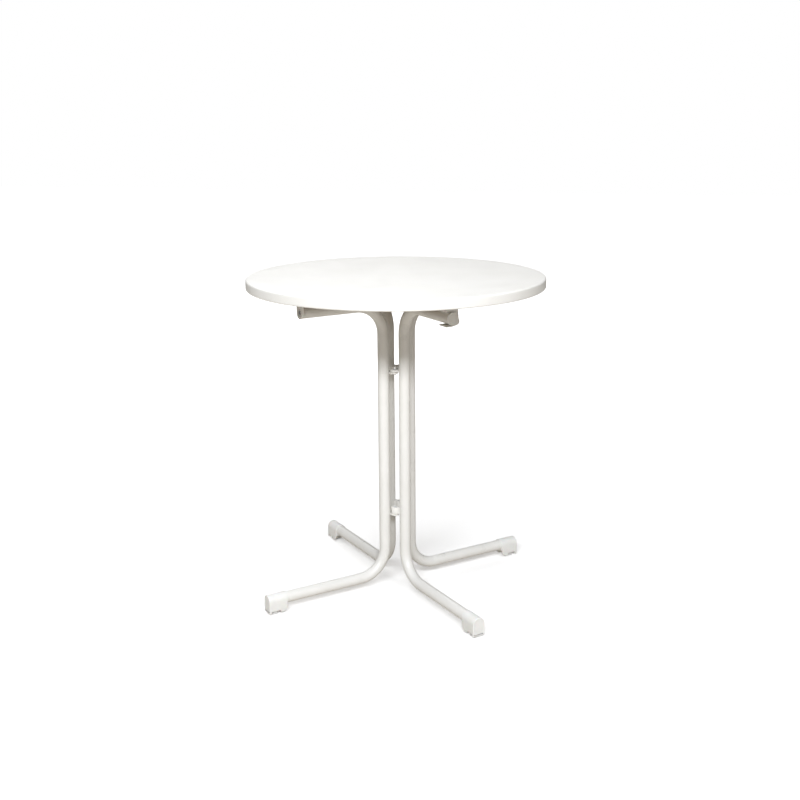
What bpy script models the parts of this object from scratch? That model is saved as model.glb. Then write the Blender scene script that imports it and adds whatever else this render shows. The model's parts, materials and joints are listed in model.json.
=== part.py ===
"""Round folding table: a moulded top on four C-bent steel tubes.

The front-left and back-right tubes are one rigid frame, held together by two link plates.
The front-right and back-left tubes swing on vertical hinge pins: each arm leaves the hook
clip under the top, and the tube comes to lie beside its fixed neighbour.

Units are metres and +Z is up. The origin is on the floor, under the centre of the top.
"""

import math

import bmesh
import bpy
from mathutils import Matrix, Vector

# Driving sizes --------------------------------------------------------------------------

TABLE_HEIGHT = 0.720
TOP_DIAMETER = 0.650
FOOT_REACH = 0.333  # table's centre to a foot cap's end face

# Moulded top
RIM_THICKNESS = 0.022
RIM_WIDTH = 0.030  # band of full thickness around the recessed underside
RECESS_DEPTH = 0.004
RIM_UPPER_RADIUS = 0.004
RIM_LOWER_RADIUS = 0.003

# Bent steel tube
TUBE_DIAMETER = 0.025
TUBE_WALL = 0.0015
BEND_RADIUS = 0.065  # of the tube's centre line

# Foot cap and levelling foot
CAP_WALL = 0.0014
CAP_LENGTH = 0.046
CAP_END_WALL = 0.004
CAP_BLOCK_LENGTH = 0.033
CAP_BLOCK_CURVE = 0.010  # run of the block's rounded rear end
CAP_EDGE = 0.0012
BLOCK_UNDER_TUBE = 0.0142
CHEEK_WALL = 0.0022  # the block is hollow behind the levelling foot, between two cheeks
CHEEK_WEB = 0.002  # wall between that hollow and the foot's slot
FOOT_SETBACK = 0.016  # cap's end face to the levelling foot's axis
FOOT_PAD_RADIUS = 0.0105
FOOT_PAD_THICKNESS = 0.0065
FOOT_PAD_SINK = 0.0032  # part of the pad's thickness that sits up inside the slot
FOOT_SLOT_PLAY = 0.0015  # pad's top to the slot's roof
FOOT_SLOT_MARGIN = 0.0008  # pad's edge to the slot's ends
FOOT_SHANK_RADIUS = 0.004
FOOT_BORE_ROOF = 0.001  # plastic left between the foot's bore and the tube

# Hinge between a fixed and a swinging tube
BARREL_RADIUS = 0.0085
UPPER_BARREL_HEIGHT = 0.0052
LOWER_BARREL_HEIGHT = 0.0155
BARREL_WEB = 0.010
COUNTERBORE_MARGIN = 0.0006  # pin head's edge to the counterbore's wall
COUNTERBORE_DEPTH = 0.003
KNUCKLE_GAP = 0.00325  # barrel to the tubes it turns between
PLATE_THICKNESS = 0.003
PLATE_WIDTH = 0.016
WASHER_THICKNESS = 0.0008
WASHER_RADIUS = 0.008
PIN_RADIUS = 0.003
PIN_HEAD_RADIUS = 0.0042
PIN_HEAD_HEIGHT = 0.0012
PIN_STUB_RADIUS = 0.0018  # snapped-off mandrel in the middle of the head
PIN_STUB_HEIGHT = 0.0013
PIN_FOOT_RADIUS = 0.005
PIN_FOOT_HEIGHT = 0.002
LOWER_PLATE_HEIGHT = 0.1736  # floor to the lower link plate
UPPER_PLATE_DROP = 0.1545  # arm's axis down to the upper link plate

# Fittings under the top
PIVOT_INSET = 0.091  # rim to the pivot bracket's outer face
PIVOT_EAR_THICKNESS = 0.005
PIVOT_EAR_MARGIN = 0.0005  # ear's round end beyond the tube's outline
PIVOT_COUNTERBORE_RADIUS = 0.008
PIVOT_COUNTERBORE_DEPTH = 0.0025
PIVOT_BASE_LENGTH = 0.040  # beyond the ear, towards the rim
FLANGE_THICKNESS = 0.003
HOOK_INSET = 0.0985  # rim to the hooked arm's end plug
HOOK_LENGTH = 0.028
HOOK_FLANGE_LENGTH = 0.062
HOOK_BEHIND_PLUG = 0.0025
HOOK_WALL = 0.0032
HOOK_LEFT_SIDE = 0.013
HOOK_LIP_DROP = 0.0015  # the lip's bowl below the tube's own circle
HOOK_LIP_TURN = math.radians(116)  # from the wall, round under the tube
PLUG_DEPTH = 0.018
PLUG_FLANGE_THICKNESS = 0.002
ARM_PLUG_THICKNESS = 0.003
ARM_PLUG_MARGIN = 0.0005

# Screws
PIVOT_SCREW_RADIUS = 0.0025
PIVOT_SCREW_HEAD_RADIUS = 0.0048
PIVOT_SCREW_HEAD_HEIGHT = 0.0026
WOOD_SCREW_RADIUS = 0.0019
WOOD_SCREW_HEAD_RADIUS = 0.0038
WOOD_SCREW_HEAD_HEIGHT = 0.0018
WOOD_SCREW_LENGTH = 0.0145
SCREW_SPACING = 0.020  # between the two screws of a pivot bracket
HOOK_SCREW_OFFSET = 0.022  # hook's middle to each of its screws

# Clearances
CONTACT_GAP = 0.0003  # left between pieces that touch
FOLD_GAP = 0.0011  # between neighbouring foot caps when folded
TOP_FOLD_GAP = 0.0005  # folded arm to the underside of the hanging top

# Facets
TOP_SIDES = 72
TUBE_SIDES = 16
BEND_STEPS = 6
ROUND_SIDES = 16
CAP_SIDES = 20
CAP_CURVE_STEPS = 3
ARC_STEP = math.radians(18)

# Sizes that follow ------------------------------------------------------------------------

TUBE_RADIUS = TUBE_DIAMETER / 2
TUBE_BORE_RADIUS = TUBE_RADIUS - TUBE_WALL
CAP_RADIUS = TUBE_RADIUS + CONTACT_GAP + CAP_WALL
CAP_BLOCK_DEPTH = TUBE_RADIUS + BLOCK_UNDER_TUBE  # leg's axis to the block's underside
LEG_Z = FOOT_PAD_THICKNESS - FOOT_PAD_SINK + CAP_BLOCK_DEPTH

FOLD_PITCH = 2 * CAP_RADIUS + FOLD_GAP  # folded tube to its fixed neighbour
KNUCKLE_OFFSET = FOLD_PITCH / 2
KNUCKLE_REACH = math.sqrt(2) * KNUCKLE_OFFSET  # table's centre to a hinge axis
KNUCKLE_TO_TUBE = TUBE_RADIUS + BARREL_RADIUS + KNUCKLE_GAP
UPRIGHT_REACH = KNUCKLE_OFFSET + math.sqrt(KNUCKLE_TO_TUBE**2 - KNUCKLE_OFFSET**2)

RIM_BOTTOM_Z = TABLE_HEIGHT - RIM_THICKNESS
UNDERSIDE_Z = RIM_BOTTOM_Z + RECESS_DEPTH
ARM_Z = UNDERSIDE_Z - FOLD_PITCH - TUBE_RADIUS - TOP_FOLD_GAP
FLANGE_TOP = UNDERSIDE_Z - CONTACT_GAP - ARM_Z  # above the arm's axis
FLANGE_BOTTOM = FLANGE_TOP - FLANGE_THICKNESS

TOP_RADIUS = TOP_DIAMETER / 2
PIVOT_FACE_REACH = TOP_RADIUS - PIVOT_INSET
PIVOT_EAR_REACH = PIVOT_FACE_REACH - PIVOT_EAR_THICKNESS
PIVOT_TUBE_END = PIVOT_EAR_REACH - 2 * CONTACT_GAP - PLUG_FLANGE_THICKNESS
HOOK_FACE_REACH = TOP_RADIUS - HOOK_INSET
HOOK_TUBE_END = HOOK_FACE_REACH - CONTACT_GAP - ARM_PLUG_THICKNESS
HOOK_REACH = HOOK_TUBE_END - HOOK_BEHIND_PLUG - HOOK_LENGTH / 2
FOOT_TUBE_END = FOOT_REACH - CAP_END_WALL - CONTACT_GAP
FOOT_AXIS_REACH = FOOT_REACH - FOOT_SETBACK

FRONT_LEFT, FRONT_RIGHT, BACK_RIGHT, BACK_LEFT = (math.radians(a) for a in (225, 315, 45, 135))
FIXED_LEGS = {"front_left": FRONT_LEFT, "back_right": BACK_RIGHT}
SWING_LEGS = {"front_right": FRONT_RIGHT, "back_left": BACK_LEFT}
HINGE_SIDES = {"front_right": "front", "back_left": "back"}
LEVELS = {"upper": ARM_Z - UPPER_PLATE_DROP, "lower": LOWER_PLATE_HEIGHT}
BARREL_HEIGHTS = {"upper": UPPER_BARREL_HEIGHT, "lower": LOWER_BARREL_HEIGHT}
QUARTER_TURN = math.pi / 2


# Modelling helpers ------------------------------------------------------------------------


def clear_scene():
    for obj in list(bpy.data.objects):
        bpy.data.objects.remove(obj, do_unlink=True)


def finish_material(name, colour, roughness, metallic=0.0):
    """A Principled material in one plain finish."""
    material = bpy.data.materials.new(name)
    material.use_nodes = True
    shader = material.node_tree.nodes["Principled BSDF"]
    shader.inputs["Base Color"].default_value = (*colour, 1.0)
    shader.inputs["Roughness"].default_value = roughness
    shader.inputs["Metallic"].default_value = metallic
    return material


def around(angle, reach=1.0, height=0.0):
    """The point at this reach from the table's axis, in the direction of the angle."""
    return Vector((reach * math.cos(angle), reach * math.sin(angle), height))


def arc(centre, radius, start, end):
    """Points along an arc of the plane, both ends included, in steps of about ARC_STEP."""
    steps = max(2, round(abs(end - start) / ARC_STEP))
    angles = [start + (end - start) * step / steps for step in range(steps + 1)]
    return [(centre[0] + radius * math.cos(a), centre[1] + radius * math.sin(a)) for a in angles]


def clearing_radius(radius, sides):
    """Corner radius of a many-sided bore whose flats stay the contact gap outside the radius."""
    return (radius + CONTACT_GAP) / math.cos(math.pi / sides)


def mesh_from(bm, name, material):
    """Closes the bmesh into a mesh, smooth but for its sharp edges."""
    bmesh.ops.recalc_face_normals(bm, faces=bm.faces)
    mesh = bpy.data.meshes.new(name)
    bm.to_mesh(mesh)
    bm.free()
    mesh.shade_smooth()
    mesh.set_sharp_from_angle(angle=math.radians(35))
    mesh.materials.append(material)
    return mesh


def add(name, mesh, parent, location=(0, 0, 0), rotation=(0, 0, 0)):
    """An object at a world location, carried by its parent empty."""
    obj = bpy.data.objects.new(name, mesh)
    bpy.context.scene.collection.objects.link(obj)
    obj.parent = parent
    obj.location = Vector(location) - (parent.location if parent else Vector())
    obj.rotation_euler = rotation
    return obj


def add_empty(name, location=(0, 0, 0)):
    empty = bpy.data.objects.new(name, None)
    bpy.context.scene.collection.objects.link(empty)
    empty.location = location
    return empty


def cut(obj, name, mesh, location=(0, 0, 0), rotation=(0, 0, 0)):
    """Cuts a tool mesh out of the object, placed in the object's own frame."""
    tool = bpy.data.objects.new(name, mesh)
    bpy.context.scene.collection.objects.link(tool)
    tool.parent = obj
    tool.location = location
    tool.rotation_euler = rotation
    tool.hide_render = True
    tool.display_type = "WIRE"
    boolean = obj.modifiers.new(name, "BOOLEAN")
    boolean.operation = "DIFFERENCE"
    boolean.object = tool


def turned(name, profile, material, sides=ROUND_SIDES, ring=False):
    """A body turned about Z from (radius, height) points. A ring's profile closes on itself."""
    bm = bmesh.new()
    points = [bm.verts.new((radius, 0, height)) for radius, height in profile]
    edges = [bm.edges.new(pair) for pair in zip(points, points[1:])]
    if ring:
        edges.append(bm.edges.new((points[-1], points[0])))
    bmesh.ops.spin(
        bm,
        geom=points + edges,
        cent=(0, 0, 0),
        axis=(0, 0, 1),
        angle=2 * math.pi,
        steps=sides,
    )
    bmesh.ops.remove_doubles(bm, verts=bm.verts, dist=1e-6)
    return mesh_from(bm, name, material)


def drill(name, radius, start, end):
    """A plain cylinder to cut a hole with, between two heights."""
    profile = [(0, end), (radius, end), (radius, start), (0, start)]
    return turned(name, profile, None)


def block_tool(name, low, high):
    """A plain box to cut a slot with, between two corners."""
    low, high = Vector(low), Vector(high)
    bm = bmesh.new()
    place = Matrix.Translation((low + high) / 2) @ Matrix.Diagonal((*(high - low), 1))
    bmesh.ops.create_cube(bm, size=1, matrix=place)
    return mesh_from(bm, name, None)


def loop_edges(bm, points, height=0.0):
    """A closed loop of edges through (x, y) points."""
    verts = [bm.verts.new((x, y, height)) for x, y in points]
    return [bm.edges.new(pair) for pair in zip(verts, verts[1:] + verts[:1])]


def raise_faces(bm, faces, offset, from_sheet=False):
    """Extrudes the faces by the offset and returns the moved ones. A sheet keeps its first side."""
    new = bmesh.ops.extrude_face_region(bm, geom=faces)["geom"]
    if not from_sheet:
        bmesh.ops.delete(bm, geom=faces, context="FACES_ONLY")
    verts = [item for item in new if isinstance(item, bmesh.types.BMVert)]
    bmesh.ops.translate(bm, verts=verts, vec=offset)
    return [item for item in new if isinstance(item, bmesh.types.BMFace)]


def plate(name, outline, holes, thickness, material):
    """A flat plate from z = 0 up, with round holes given as (x, y, radius)."""
    bm = bmesh.new()
    edges = loop_edges(bm, outline)
    for x, y, radius in holes:
        edges += loop_edges(bm, arc((x, y), radius, 0, 2 * math.pi)[:-1])
    filled = bmesh.ops.triangle_fill(bm, edges=edges, use_beauty=True)["geom"]
    faces = [item for item in filled if isinstance(item, bmesh.types.BMFace)]
    raise_faces(bm, faces, (0, 0, thickness), from_sheet=True)
    return mesh_from(bm, name, material)


def lofted(name, rings, material, hollow=False):
    """A closed body through rings of equal point counts.

    Its first and last ring are filled, or joined to each other where it is hollow.
    """
    bm = bmesh.new()
    loops = [[bm.verts.new(point) for point in ring] for ring in rings]
    count = len(loops[0])
    pairs = list(zip(loops, loops[1:]))
    if hollow:
        pairs.append((loops[-1], loops[0]))
    else:
        bm.faces.new(loops[0])
        bm.faces.new(loops[-1])
    for near, far in pairs:
        for i in range(count):
            j = (i + 1) % count
            bm.faces.new((near[i], near[j], far[j], far[i]))
    return mesh_from(bm, name, material)


# Pieces -----------------------------------------------------------------------------------


def top_profile():
    """Half section of the top: flat face, rounded rim, and a recess under the board."""
    upper = (TOP_RADIUS - RIM_UPPER_RADIUS, TABLE_HEIGHT - RIM_UPPER_RADIUS)
    lower = (TOP_RADIUS - RIM_LOWER_RADIUS, RIM_BOTTOM_Z + RIM_LOWER_RADIUS)
    recess = TOP_RADIUS - RIM_WIDTH
    profile = [(0, TABLE_HEIGHT)]
    profile += arc(upper, RIM_UPPER_RADIUS, QUARTER_TURN, 0)
    profile += arc(lower, RIM_LOWER_RADIUS, 0, -QUARTER_TURN)
    profile += [(recess, RIM_BOTTOM_Z), (recess - RECESS_DEPTH, UNDERSIDE_Z), (0, UNDERSIDE_Z)]
    return profile


def make_top(parent, material):
    mesh = turned("table_top", top_profile(), material, TOP_SIDES)
    top = add("table_top", mesh, parent)
    depth = WOOD_SCREW_LENGTH - FLANGE_THICKNESS + 2 * CONTACT_GAP
    pilot = drill(
        "pilot_hole",
        clearing_radius(WOOD_SCREW_RADIUS, ROUND_SIDES),
        UNDERSIDE_Z - 2 * RECESS_DEPTH,
        UNDERSIDE_Z + depth,
    )
    for leg, angle in (FIXED_LEGS | SWING_LEGS).items():
        for number, reach in enumerate(screw_reaches(leg), 1):
            cut(top, f"pilot_{leg}_{number}", pilot, around(angle, reach))


def screw_reaches(leg):
    """How far from the table's axis the two screws of this leg's fitting stand."""
    if leg in SWING_LEGS:
        return HOOK_REACH - HOOK_SCREW_OFFSET, HOOK_REACH + HOOK_SCREW_OFFSET
    middle = PIVOT_FACE_REACH + PIVOT_BASE_LENGTH / 2
    return middle - SCREW_SPACING / 2, middle + SCREW_SPACING / 2


def tube_stations(arm_end):
    """Centre line in the XZ plane as (x, z, turn): the leg runs in, the upright up, the arm out."""
    bend_x = UPRIGHT_REACH + BEND_RADIUS
    stations = [(FOOT_TUBE_END, LEG_Z, 0.0)]
    for centre_z, start in ((LEG_Z + BEND_RADIUS, 0.0), (ARM_Z - BEND_RADIUS, QUARTER_TURN)):
        for step in range(BEND_STEPS + 1):
            turn = start + QUARTER_TURN * step / BEND_STEPS
            x = bend_x - BEND_RADIUS * math.sin(turn)
            z = centre_z - BEND_RADIUS * math.cos(turn)
            stations.append((x, z, turn))
    stations.append((arm_end, ARM_Z, math.pi))
    return stations


def tube_ring(station, radius):
    """The tube's section at a station, square to its centre line."""
    x, z, turn = station
    ring = []
    for side in range(TUBE_SIDES):
        angle = 2 * math.pi * side / TUBE_SIDES
        away = radius * math.cos(angle)
        ring.append((x - away * math.sin(turn), radius * math.sin(angle), z - away * math.cos(turn)))
    return ring


def bent_tube(name, arm_end, material):
    """A C-bent tube: its outside along the centre line, then its bore back again."""
    stations = tube_stations(arm_end)
    outside = [tube_ring(station, TUBE_RADIUS) for station in stations]
    bore = [tube_ring(station, TUBE_BORE_RADIUS) for station in reversed(stations)]
    return lofted(name, outside + bore, material, hollow=True)


def link_plate_outline():
    """Strip between the fixed tubes with an ear at each hinge. X runs from front left to back right."""
    hollow = TUBE_RADIUS + CONTACT_GAP
    half = PLATE_WIDTH / 2
    spread = math.asin(half / hollow)
    ear = (-KNUCKLE_OFFSET, -KNUCKLE_OFFSET)
    side = arc((-UPRIGHT_REACH, 0), hollow, spread, -spread)
    side += arc(ear, BARREL_RADIUS, math.pi, 2 * math.pi)
    side.append((ear[0] + BARREL_RADIUS, -half))
    return side + [(-x, -y) for x, y in side]


def make_link_plate(level, height, parent, material):
    hole = clearing_radius(PIN_RADIUS, ROUND_SIDES)
    holes = [(sign * KNUCKLE_OFFSET, sign * KNUCKLE_OFFSET, hole) for sign in (-1, 1)]
    name = f"link_plate_{level}"
    mesh = plate(name, link_plate_outline(), holes, PLATE_THICKNESS, material)
    add(name, mesh, parent, (0, 0, height), (0, 0, BACK_RIGHT))


def barrel_outline():
    """Hinge eye with a web that runs along X to a hollow fitting the tube's side."""
    half = BARREL_WEB / 2
    hollow = TUBE_RADIUS + CONTACT_GAP
    start = math.asin(half / BARREL_RADIUS)
    spread = math.asin(half / hollow)
    eye = arc((0, 0), BARREL_RADIUS, start, 2 * math.pi - start)
    return eye + arc((KNUCKLE_TO_TUBE, 0), hollow, math.pi + spread, math.pi - spread)


def barrel_bore(height):
    """Stepped cutter: the pin's bore, wider at the top for the pin's head."""
    bore = clearing_radius(PIN_RADIUS, ROUND_SIDES)
    step = height - COUNTERBORE_DEPTH
    top = height + COUNTERBORE_DEPTH
    below = -COUNTERBORE_DEPTH
    wide = PIN_HEAD_RADIUS + COUNTERBORE_MARGIN
    profile = [(0, top), (wide, top), (wide, step)]
    profile += [(bore, step), (bore, below), (0, below)]
    return turned("barrel_bore", profile, None)


def pin_profile(barrel_height):
    """Rivet from its upset foot under the plate to its head in the barrel, with the mandrel's stub."""
    plate_top = PLATE_THICKNESS
    barrel_top = plate_top + 2 * CONTACT_GAP + WASHER_THICKNESS + barrel_height
    seat = barrel_top - COUNTERBORE_DEPTH + CONTACT_GAP
    head = seat + PIN_HEAD_HEIGHT
    edge = PIN_HEAD_HEIGHT / 2
    foot = -CONTACT_GAP - PIN_FOOT_HEIGHT
    return [
        (0, head + PIN_STUB_HEIGHT),
        (PIN_STUB_RADIUS, head + PIN_STUB_HEIGHT),
        (PIN_STUB_RADIUS, head),
        (PIN_HEAD_RADIUS - edge, head),
        (PIN_HEAD_RADIUS, head - edge),
        (PIN_HEAD_RADIUS, seat),
        (PIN_RADIUS, seat),
        (PIN_RADIUS, -CONTACT_GAP),
        (PIN_FOOT_RADIUS, -CONTACT_GAP),
        (PIN_FOOT_RADIUS, foot + 2 * edge),
        (PIN_FOOT_RADIUS - 2 * edge, foot),
        (0, foot),
    ]


def make_hinge(leg, level, plate_z, frame, swinging, steel, zinc, nylon):
    """Barrel on the swinging tube, with its pin and washer on the link plate."""
    angle = SWING_LEGS[leg]
    side = HINGE_SIDES[leg]
    axis = swinging.location.copy()
    to_tube = around(angle, UPRIGHT_REACH) - axis
    heading = math.atan2(to_tube.y, to_tube.x)
    place = f"{side}_{level}"
    axis.z = plate_z

    washer_z = Vector((0, 0, PLATE_THICKNESS + CONTACT_GAP))
    hole = clearing_radius(PIN_RADIUS, ROUND_SIDES)
    ring = [(hole, 0), (hole, WASHER_THICKNESS), (WASHER_RADIUS, WASHER_THICKNESS), (WASHER_RADIUS, 0)]
    washer = turned("hinge_washer", ring, nylon, ring=True)
    add(f"hinge_washer_{place}", washer, frame, axis + washer_z)

    barrel_z = washer_z + Vector((0, 0, WASHER_THICKNESS + CONTACT_GAP))
    height = BARREL_HEIGHTS[level]
    mesh = plate("hinge_barrel", barrel_outline(), [], height, steel)
    barrel = add(f"hinge_barrel_{place}", mesh, swinging, axis + barrel_z, (0, 0, heading))
    cut(barrel, f"bore_{place}", barrel_bore(height))
    add(f"hinge_pin_{place}", turned("hinge_pin", pin_profile(height), zinc), frame, axis)


def cap_section(station, side, depth, power):
    """Ring of the foot cap: round above the tube's axis, a rounded block of this depth below."""
    ring = []
    for step in range(CAP_SIDES):
        turn = 2 * math.pi * step / CAP_SIDES
        across, up = math.cos(turn), math.sin(turn)
        if step > CAP_SIDES // 2:
            across = math.copysign(abs(across) ** (2 / power), across)
            up = -(abs(up) ** (2 / power))
        height = side * up if step <= CAP_SIDES // 2 else depth * up
        ring.append((-station, side * across, height))
    return ring


def foot_cap(material):
    """Plastic cap, its end face at x = 0 and its sleeve running to -X around the tube."""
    bore = clearing_radius(TUBE_RADIUS, CAP_SIDES)
    block, sleeve = 8, 2  # powers of the block's and the sleeve's outline
    rings = [
        cap_section(0, CAP_RADIUS - CAP_EDGE, CAP_BLOCK_DEPTH - CAP_EDGE, block),
        cap_section(CAP_EDGE, CAP_RADIUS, CAP_BLOCK_DEPTH, block),
    ]
    for step in range(CAP_CURVE_STEPS + 1):
        turn = QUARTER_TURN * step / CAP_CURVE_STEPS
        station = CAP_BLOCK_LENGTH + CAP_BLOCK_CURVE * math.sin(turn)
        depth = CAP_RADIUS + (CAP_BLOCK_DEPTH - CAP_RADIUS) * math.cos(turn)
        rings.append(cap_section(station, CAP_RADIUS, depth, block))
    rings += [
        cap_section(CAP_LENGTH, CAP_RADIUS, CAP_RADIUS, sleeve),
        cap_section(CAP_LENGTH, bore, bore, sleeve),
        cap_section(CAP_END_WALL, bore, bore, sleeve),
    ]
    return lofted("foot_cap", rings, material)


def cap_cutters():
    """Slot across the block for the levelling foot's pad, and the hollow behind it."""
    beyond = 2 * CAP_BLOCK_DEPTH
    roof = FOOT_PAD_SINK + FOOT_SLOT_PLAY - CAP_BLOCK_DEPTH
    half = FOOT_PAD_RADIUS + FOOT_SLOT_MARGIN
    slot_end = -FOOT_SETBACK - half
    slot = block_tool("foot_slot", (slot_end, -beyond, -beyond), (half - FOOT_SETBACK, beyond, roof))
    inside = CAP_RADIUS - CHEEK_WALL
    hollow = block_tool(
        "cheek_hollow",
        (-CAP_LENGTH - beyond, -inside, -beyond),
        (slot_end - CHEEK_WEB, inside, -CAP_RADIUS),
    )
    return slot, hollow


def levelling_foot_profile():
    chamfer = FOOT_PAD_THICKNESS / 8
    tip = LEG_Z - TUBE_RADIUS - FOOT_BORE_ROOF - CONTACT_GAP
    return [
        (0, tip),
        (FOOT_SHANK_RADIUS - chamfer, tip),
        (FOOT_SHANK_RADIUS, tip - chamfer),
        (FOOT_SHANK_RADIUS, FOOT_PAD_THICKNESS),
        (FOOT_PAD_RADIUS - chamfer, FOOT_PAD_THICKNESS),
        (FOOT_PAD_RADIUS, FOOT_PAD_THICKNESS - chamfer),
        (FOOT_PAD_RADIUS, chamfer),
        (FOOT_PAD_RADIUS - chamfer, 0),
        (0, 0),
    ]


def make_foot(leg, angle, parent, plastic, pad_plastic):
    """Cap on the leg's end, and the levelling foot screwed into the block under it."""
    cap = add(f"foot_cap_{leg}", foot_cap(plastic), parent, around(angle, FOOT_REACH, LEG_Z), (0, 0, angle))
    roof = FOOT_BORE_ROOF + TUBE_RADIUS - CONTACT_GAP
    radius = clearing_radius(FOOT_SHANK_RADIUS, ROUND_SIDES)
    bore = drill("foot_bore", radius, -2 * CAP_BLOCK_DEPTH, -roof)
    cut(cap, f"foot_bore_{leg}", bore, (-FOOT_SETBACK, 0, 0))
    for tool in cap_cutters():
        cut(cap, f"{tool.name}_{leg}", tool)
    foot = turned("levelling_foot", levelling_foot_profile(), pad_plastic)
    add(f"levelling_foot_{leg}", foot, parent, around(angle, FOOT_AXIS_REACH))


def pivot_bracket(material):
    """Ear that holds the arm's end, with a flange towards the rim. X runs out, z = 0 is the arm's axis."""
    half = TUBE_RADIUS + PIVOT_EAR_MARGIN
    bm = bmesh.new()
    outline = arc((0, 0), half, math.pi, 2 * math.pi)
    outline += [(half, FLANGE_BOTTOM), (half, FLANGE_TOP), (-half, FLANGE_TOP), (-half, FLANGE_BOTTOM)]
    verts = [bm.verts.new((0, y, z)) for y, z in outline]
    ear = bm.faces.new(verts[:-4] + [verts[-4], verts[-1]])
    flange = bm.faces.new(verts[-4:])
    ends = raise_faces(bm, [ear, flange], (PIVOT_EAR_THICKNESS, 0, 0), from_sheet=True)
    upper = [face for face in ends if face.calc_center_median().z > FLANGE_BOTTOM]
    raise_faces(bm, upper, (PIVOT_BASE_LENGTH, 0, 0))
    return mesh_from(bm, "pivot_bracket", material)


def pivot_bore():
    """Stepped cutter along Z: screw hole, and the wide counterbore for its head."""
    hole = clearing_radius(PIVOT_SCREW_RADIUS, ROUND_SIDES)
    step = PIVOT_EAR_THICKNESS - PIVOT_COUNTERBORE_DEPTH
    out = PIVOT_EAR_THICKNESS + PIVOT_COUNTERBORE_DEPTH
    profile = [(0, out), (PIVOT_COUNTERBORE_RADIUS, out), (PIVOT_COUNTERBORE_RADIUS, step)]
    profile += [(hole, step), (hole, -PIVOT_COUNTERBORE_DEPTH), (0, -PIVOT_COUNTERBORE_DEPTH)]
    return turned("pivot_bore", profile, None)


def pivot_plug(material):
    """Flanged bush pressed into the arm's end. Z runs out of the tube from its end face."""
    hole = clearing_radius(PIVOT_SCREW_RADIUS, ROUND_SIDES)
    body = TUBE_BORE_RADIUS - 2 * CONTACT_GAP
    flange = CONTACT_GAP + PLUG_FLANGE_THICKNESS
    profile = [(hole, -PLUG_DEPTH), (hole, flange), (TUBE_RADIUS, flange)]
    profile += [(TUBE_RADIUS, CONTACT_GAP), (body, CONTACT_GAP), (body, -PLUG_DEPTH)]
    return turned("pivot_plug", profile, material, ring=True)


def pivot_screw(material):
    """Pan-head screw; z = 0 is the ear's inner face and Z runs out to the head."""
    seat = PIVOT_EAR_THICKNESS - PIVOT_COUNTERBORE_DEPTH + CONTACT_GAP
    head = seat + PIVOT_SCREW_HEAD_HEIGHT
    tip = PIVOT_TUBE_END - PIVOT_EAR_REACH - PLUG_DEPTH
    edge = PIVOT_SCREW_HEAD_HEIGHT / 3
    return turned(
        "pivot_screw",
        [
            (0, head),
            (PIVOT_SCREW_HEAD_RADIUS - edge, head),
            (PIVOT_SCREW_HEAD_RADIUS, head - edge),
            (PIVOT_SCREW_HEAD_RADIUS, seat),
            (PIVOT_SCREW_RADIUS, seat),
            (PIVOT_SCREW_RADIUS, tip),
            (0, tip),
        ],
        material,
    )


def make_pivot(leg, angle, frame, plastic, zinc):
    """Bracket, plug and screw at the arm's end: the line that the top folds about."""
    outward = (0, QUARTER_TURN, angle)
    ear = around(angle, PIVOT_EAR_REACH, ARM_Z)
    bracket = add(f"pivot_bracket_{leg}", pivot_bracket(plastic), frame, ear, (0, 0, angle))
    cut(bracket, f"pivot_bore_{leg}", pivot_bore(), rotation=(0, QUARTER_TURN, 0))
    for number, reach in enumerate(screw_reaches(leg), 1):
        hole = drill(
            "flange_hole",
            clearing_radius(WOOD_SCREW_RADIUS, ROUND_SIDES),
            FLANGE_BOTTOM - FLANGE_THICKNESS,
            FLANGE_TOP + FLANGE_THICKNESS,
        )
        cut(bracket, f"flange_hole_{leg}_{number}", hole, (reach - PIVOT_EAR_REACH, 0, 0))
    tube_end = around(angle, PIVOT_TUBE_END, ARM_Z)
    add(f"pivot_plug_{leg}", pivot_plug(plastic), frame, tube_end, outward)
    add(f"pivot_screw_{leg}", pivot_screw(zinc), frame, ear, outward)


def hook_outline():
    """Section across the arm, open towards -X: saddle above, wall at +X, lip round below."""
    inner = (TUBE_RADIUS + CONTACT_GAP) / math.cos(ARC_STEP / 2)
    outer = inner + HOOK_WALL
    bowl = (0, -HOOK_LIP_DROP)
    saddle = [(-HOOK_LEFT_SIDE, FLANGE_BOTTOM), (-HOOK_LEFT_SIDE, inner)]
    seat = arc((0, 0), inner, QUARTER_TURN, 0)
    lip = arc(bowl, inner, 0, -HOOK_LIP_TURN)
    under = arc(bowl, outer, -HOOK_LIP_TURN, 0)
    return saddle + seat + lip + under + [(outer, FLANGE_BOTTOM)]


def hook_clip(material):
    """Moulded hook, its section raised along Z, with a longer flange for the screws."""
    outline = hook_outline()
    outer = outline[-1][0]
    bm = bmesh.new()
    start = -HOOK_LENGTH / 2
    verts = [bm.verts.new((x, y, start)) for x, y in outline]
    corners = [(outer, FLANGE_TOP), (-HOOK_LEFT_SIDE, FLANGE_TOP)]
    above = [bm.verts.new((x, y, start)) for x, y in corners]
    body = bm.faces.new(verts)
    flange = bm.faces.new([verts[0], verts[-1], *above])
    ends = raise_faces(bm, [body, flange], (0, 0, HOOK_LENGTH), from_sheet=True)
    extra = (HOOK_FLANGE_LENGTH - HOOK_LENGTH) / 2
    far = [face for face in ends if face.calc_center_median().y > FLANGE_BOTTOM]
    raise_faces(bm, far, (0, 0, extra))
    near = [face for face in bm.faces if is_near_flange(face, start)]
    raise_faces(bm, near, (0, 0, -extra))
    return mesh_from(bm, "hook_clip", material)


def is_near_flange(face, start):
    """Whether the face is the flange's own end on the hook's near side."""
    middle = face.calc_center_median()
    return abs(middle.z - start) < CONTACT_GAP and middle.y > FLANGE_BOTTOM + CONTACT_GAP


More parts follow.
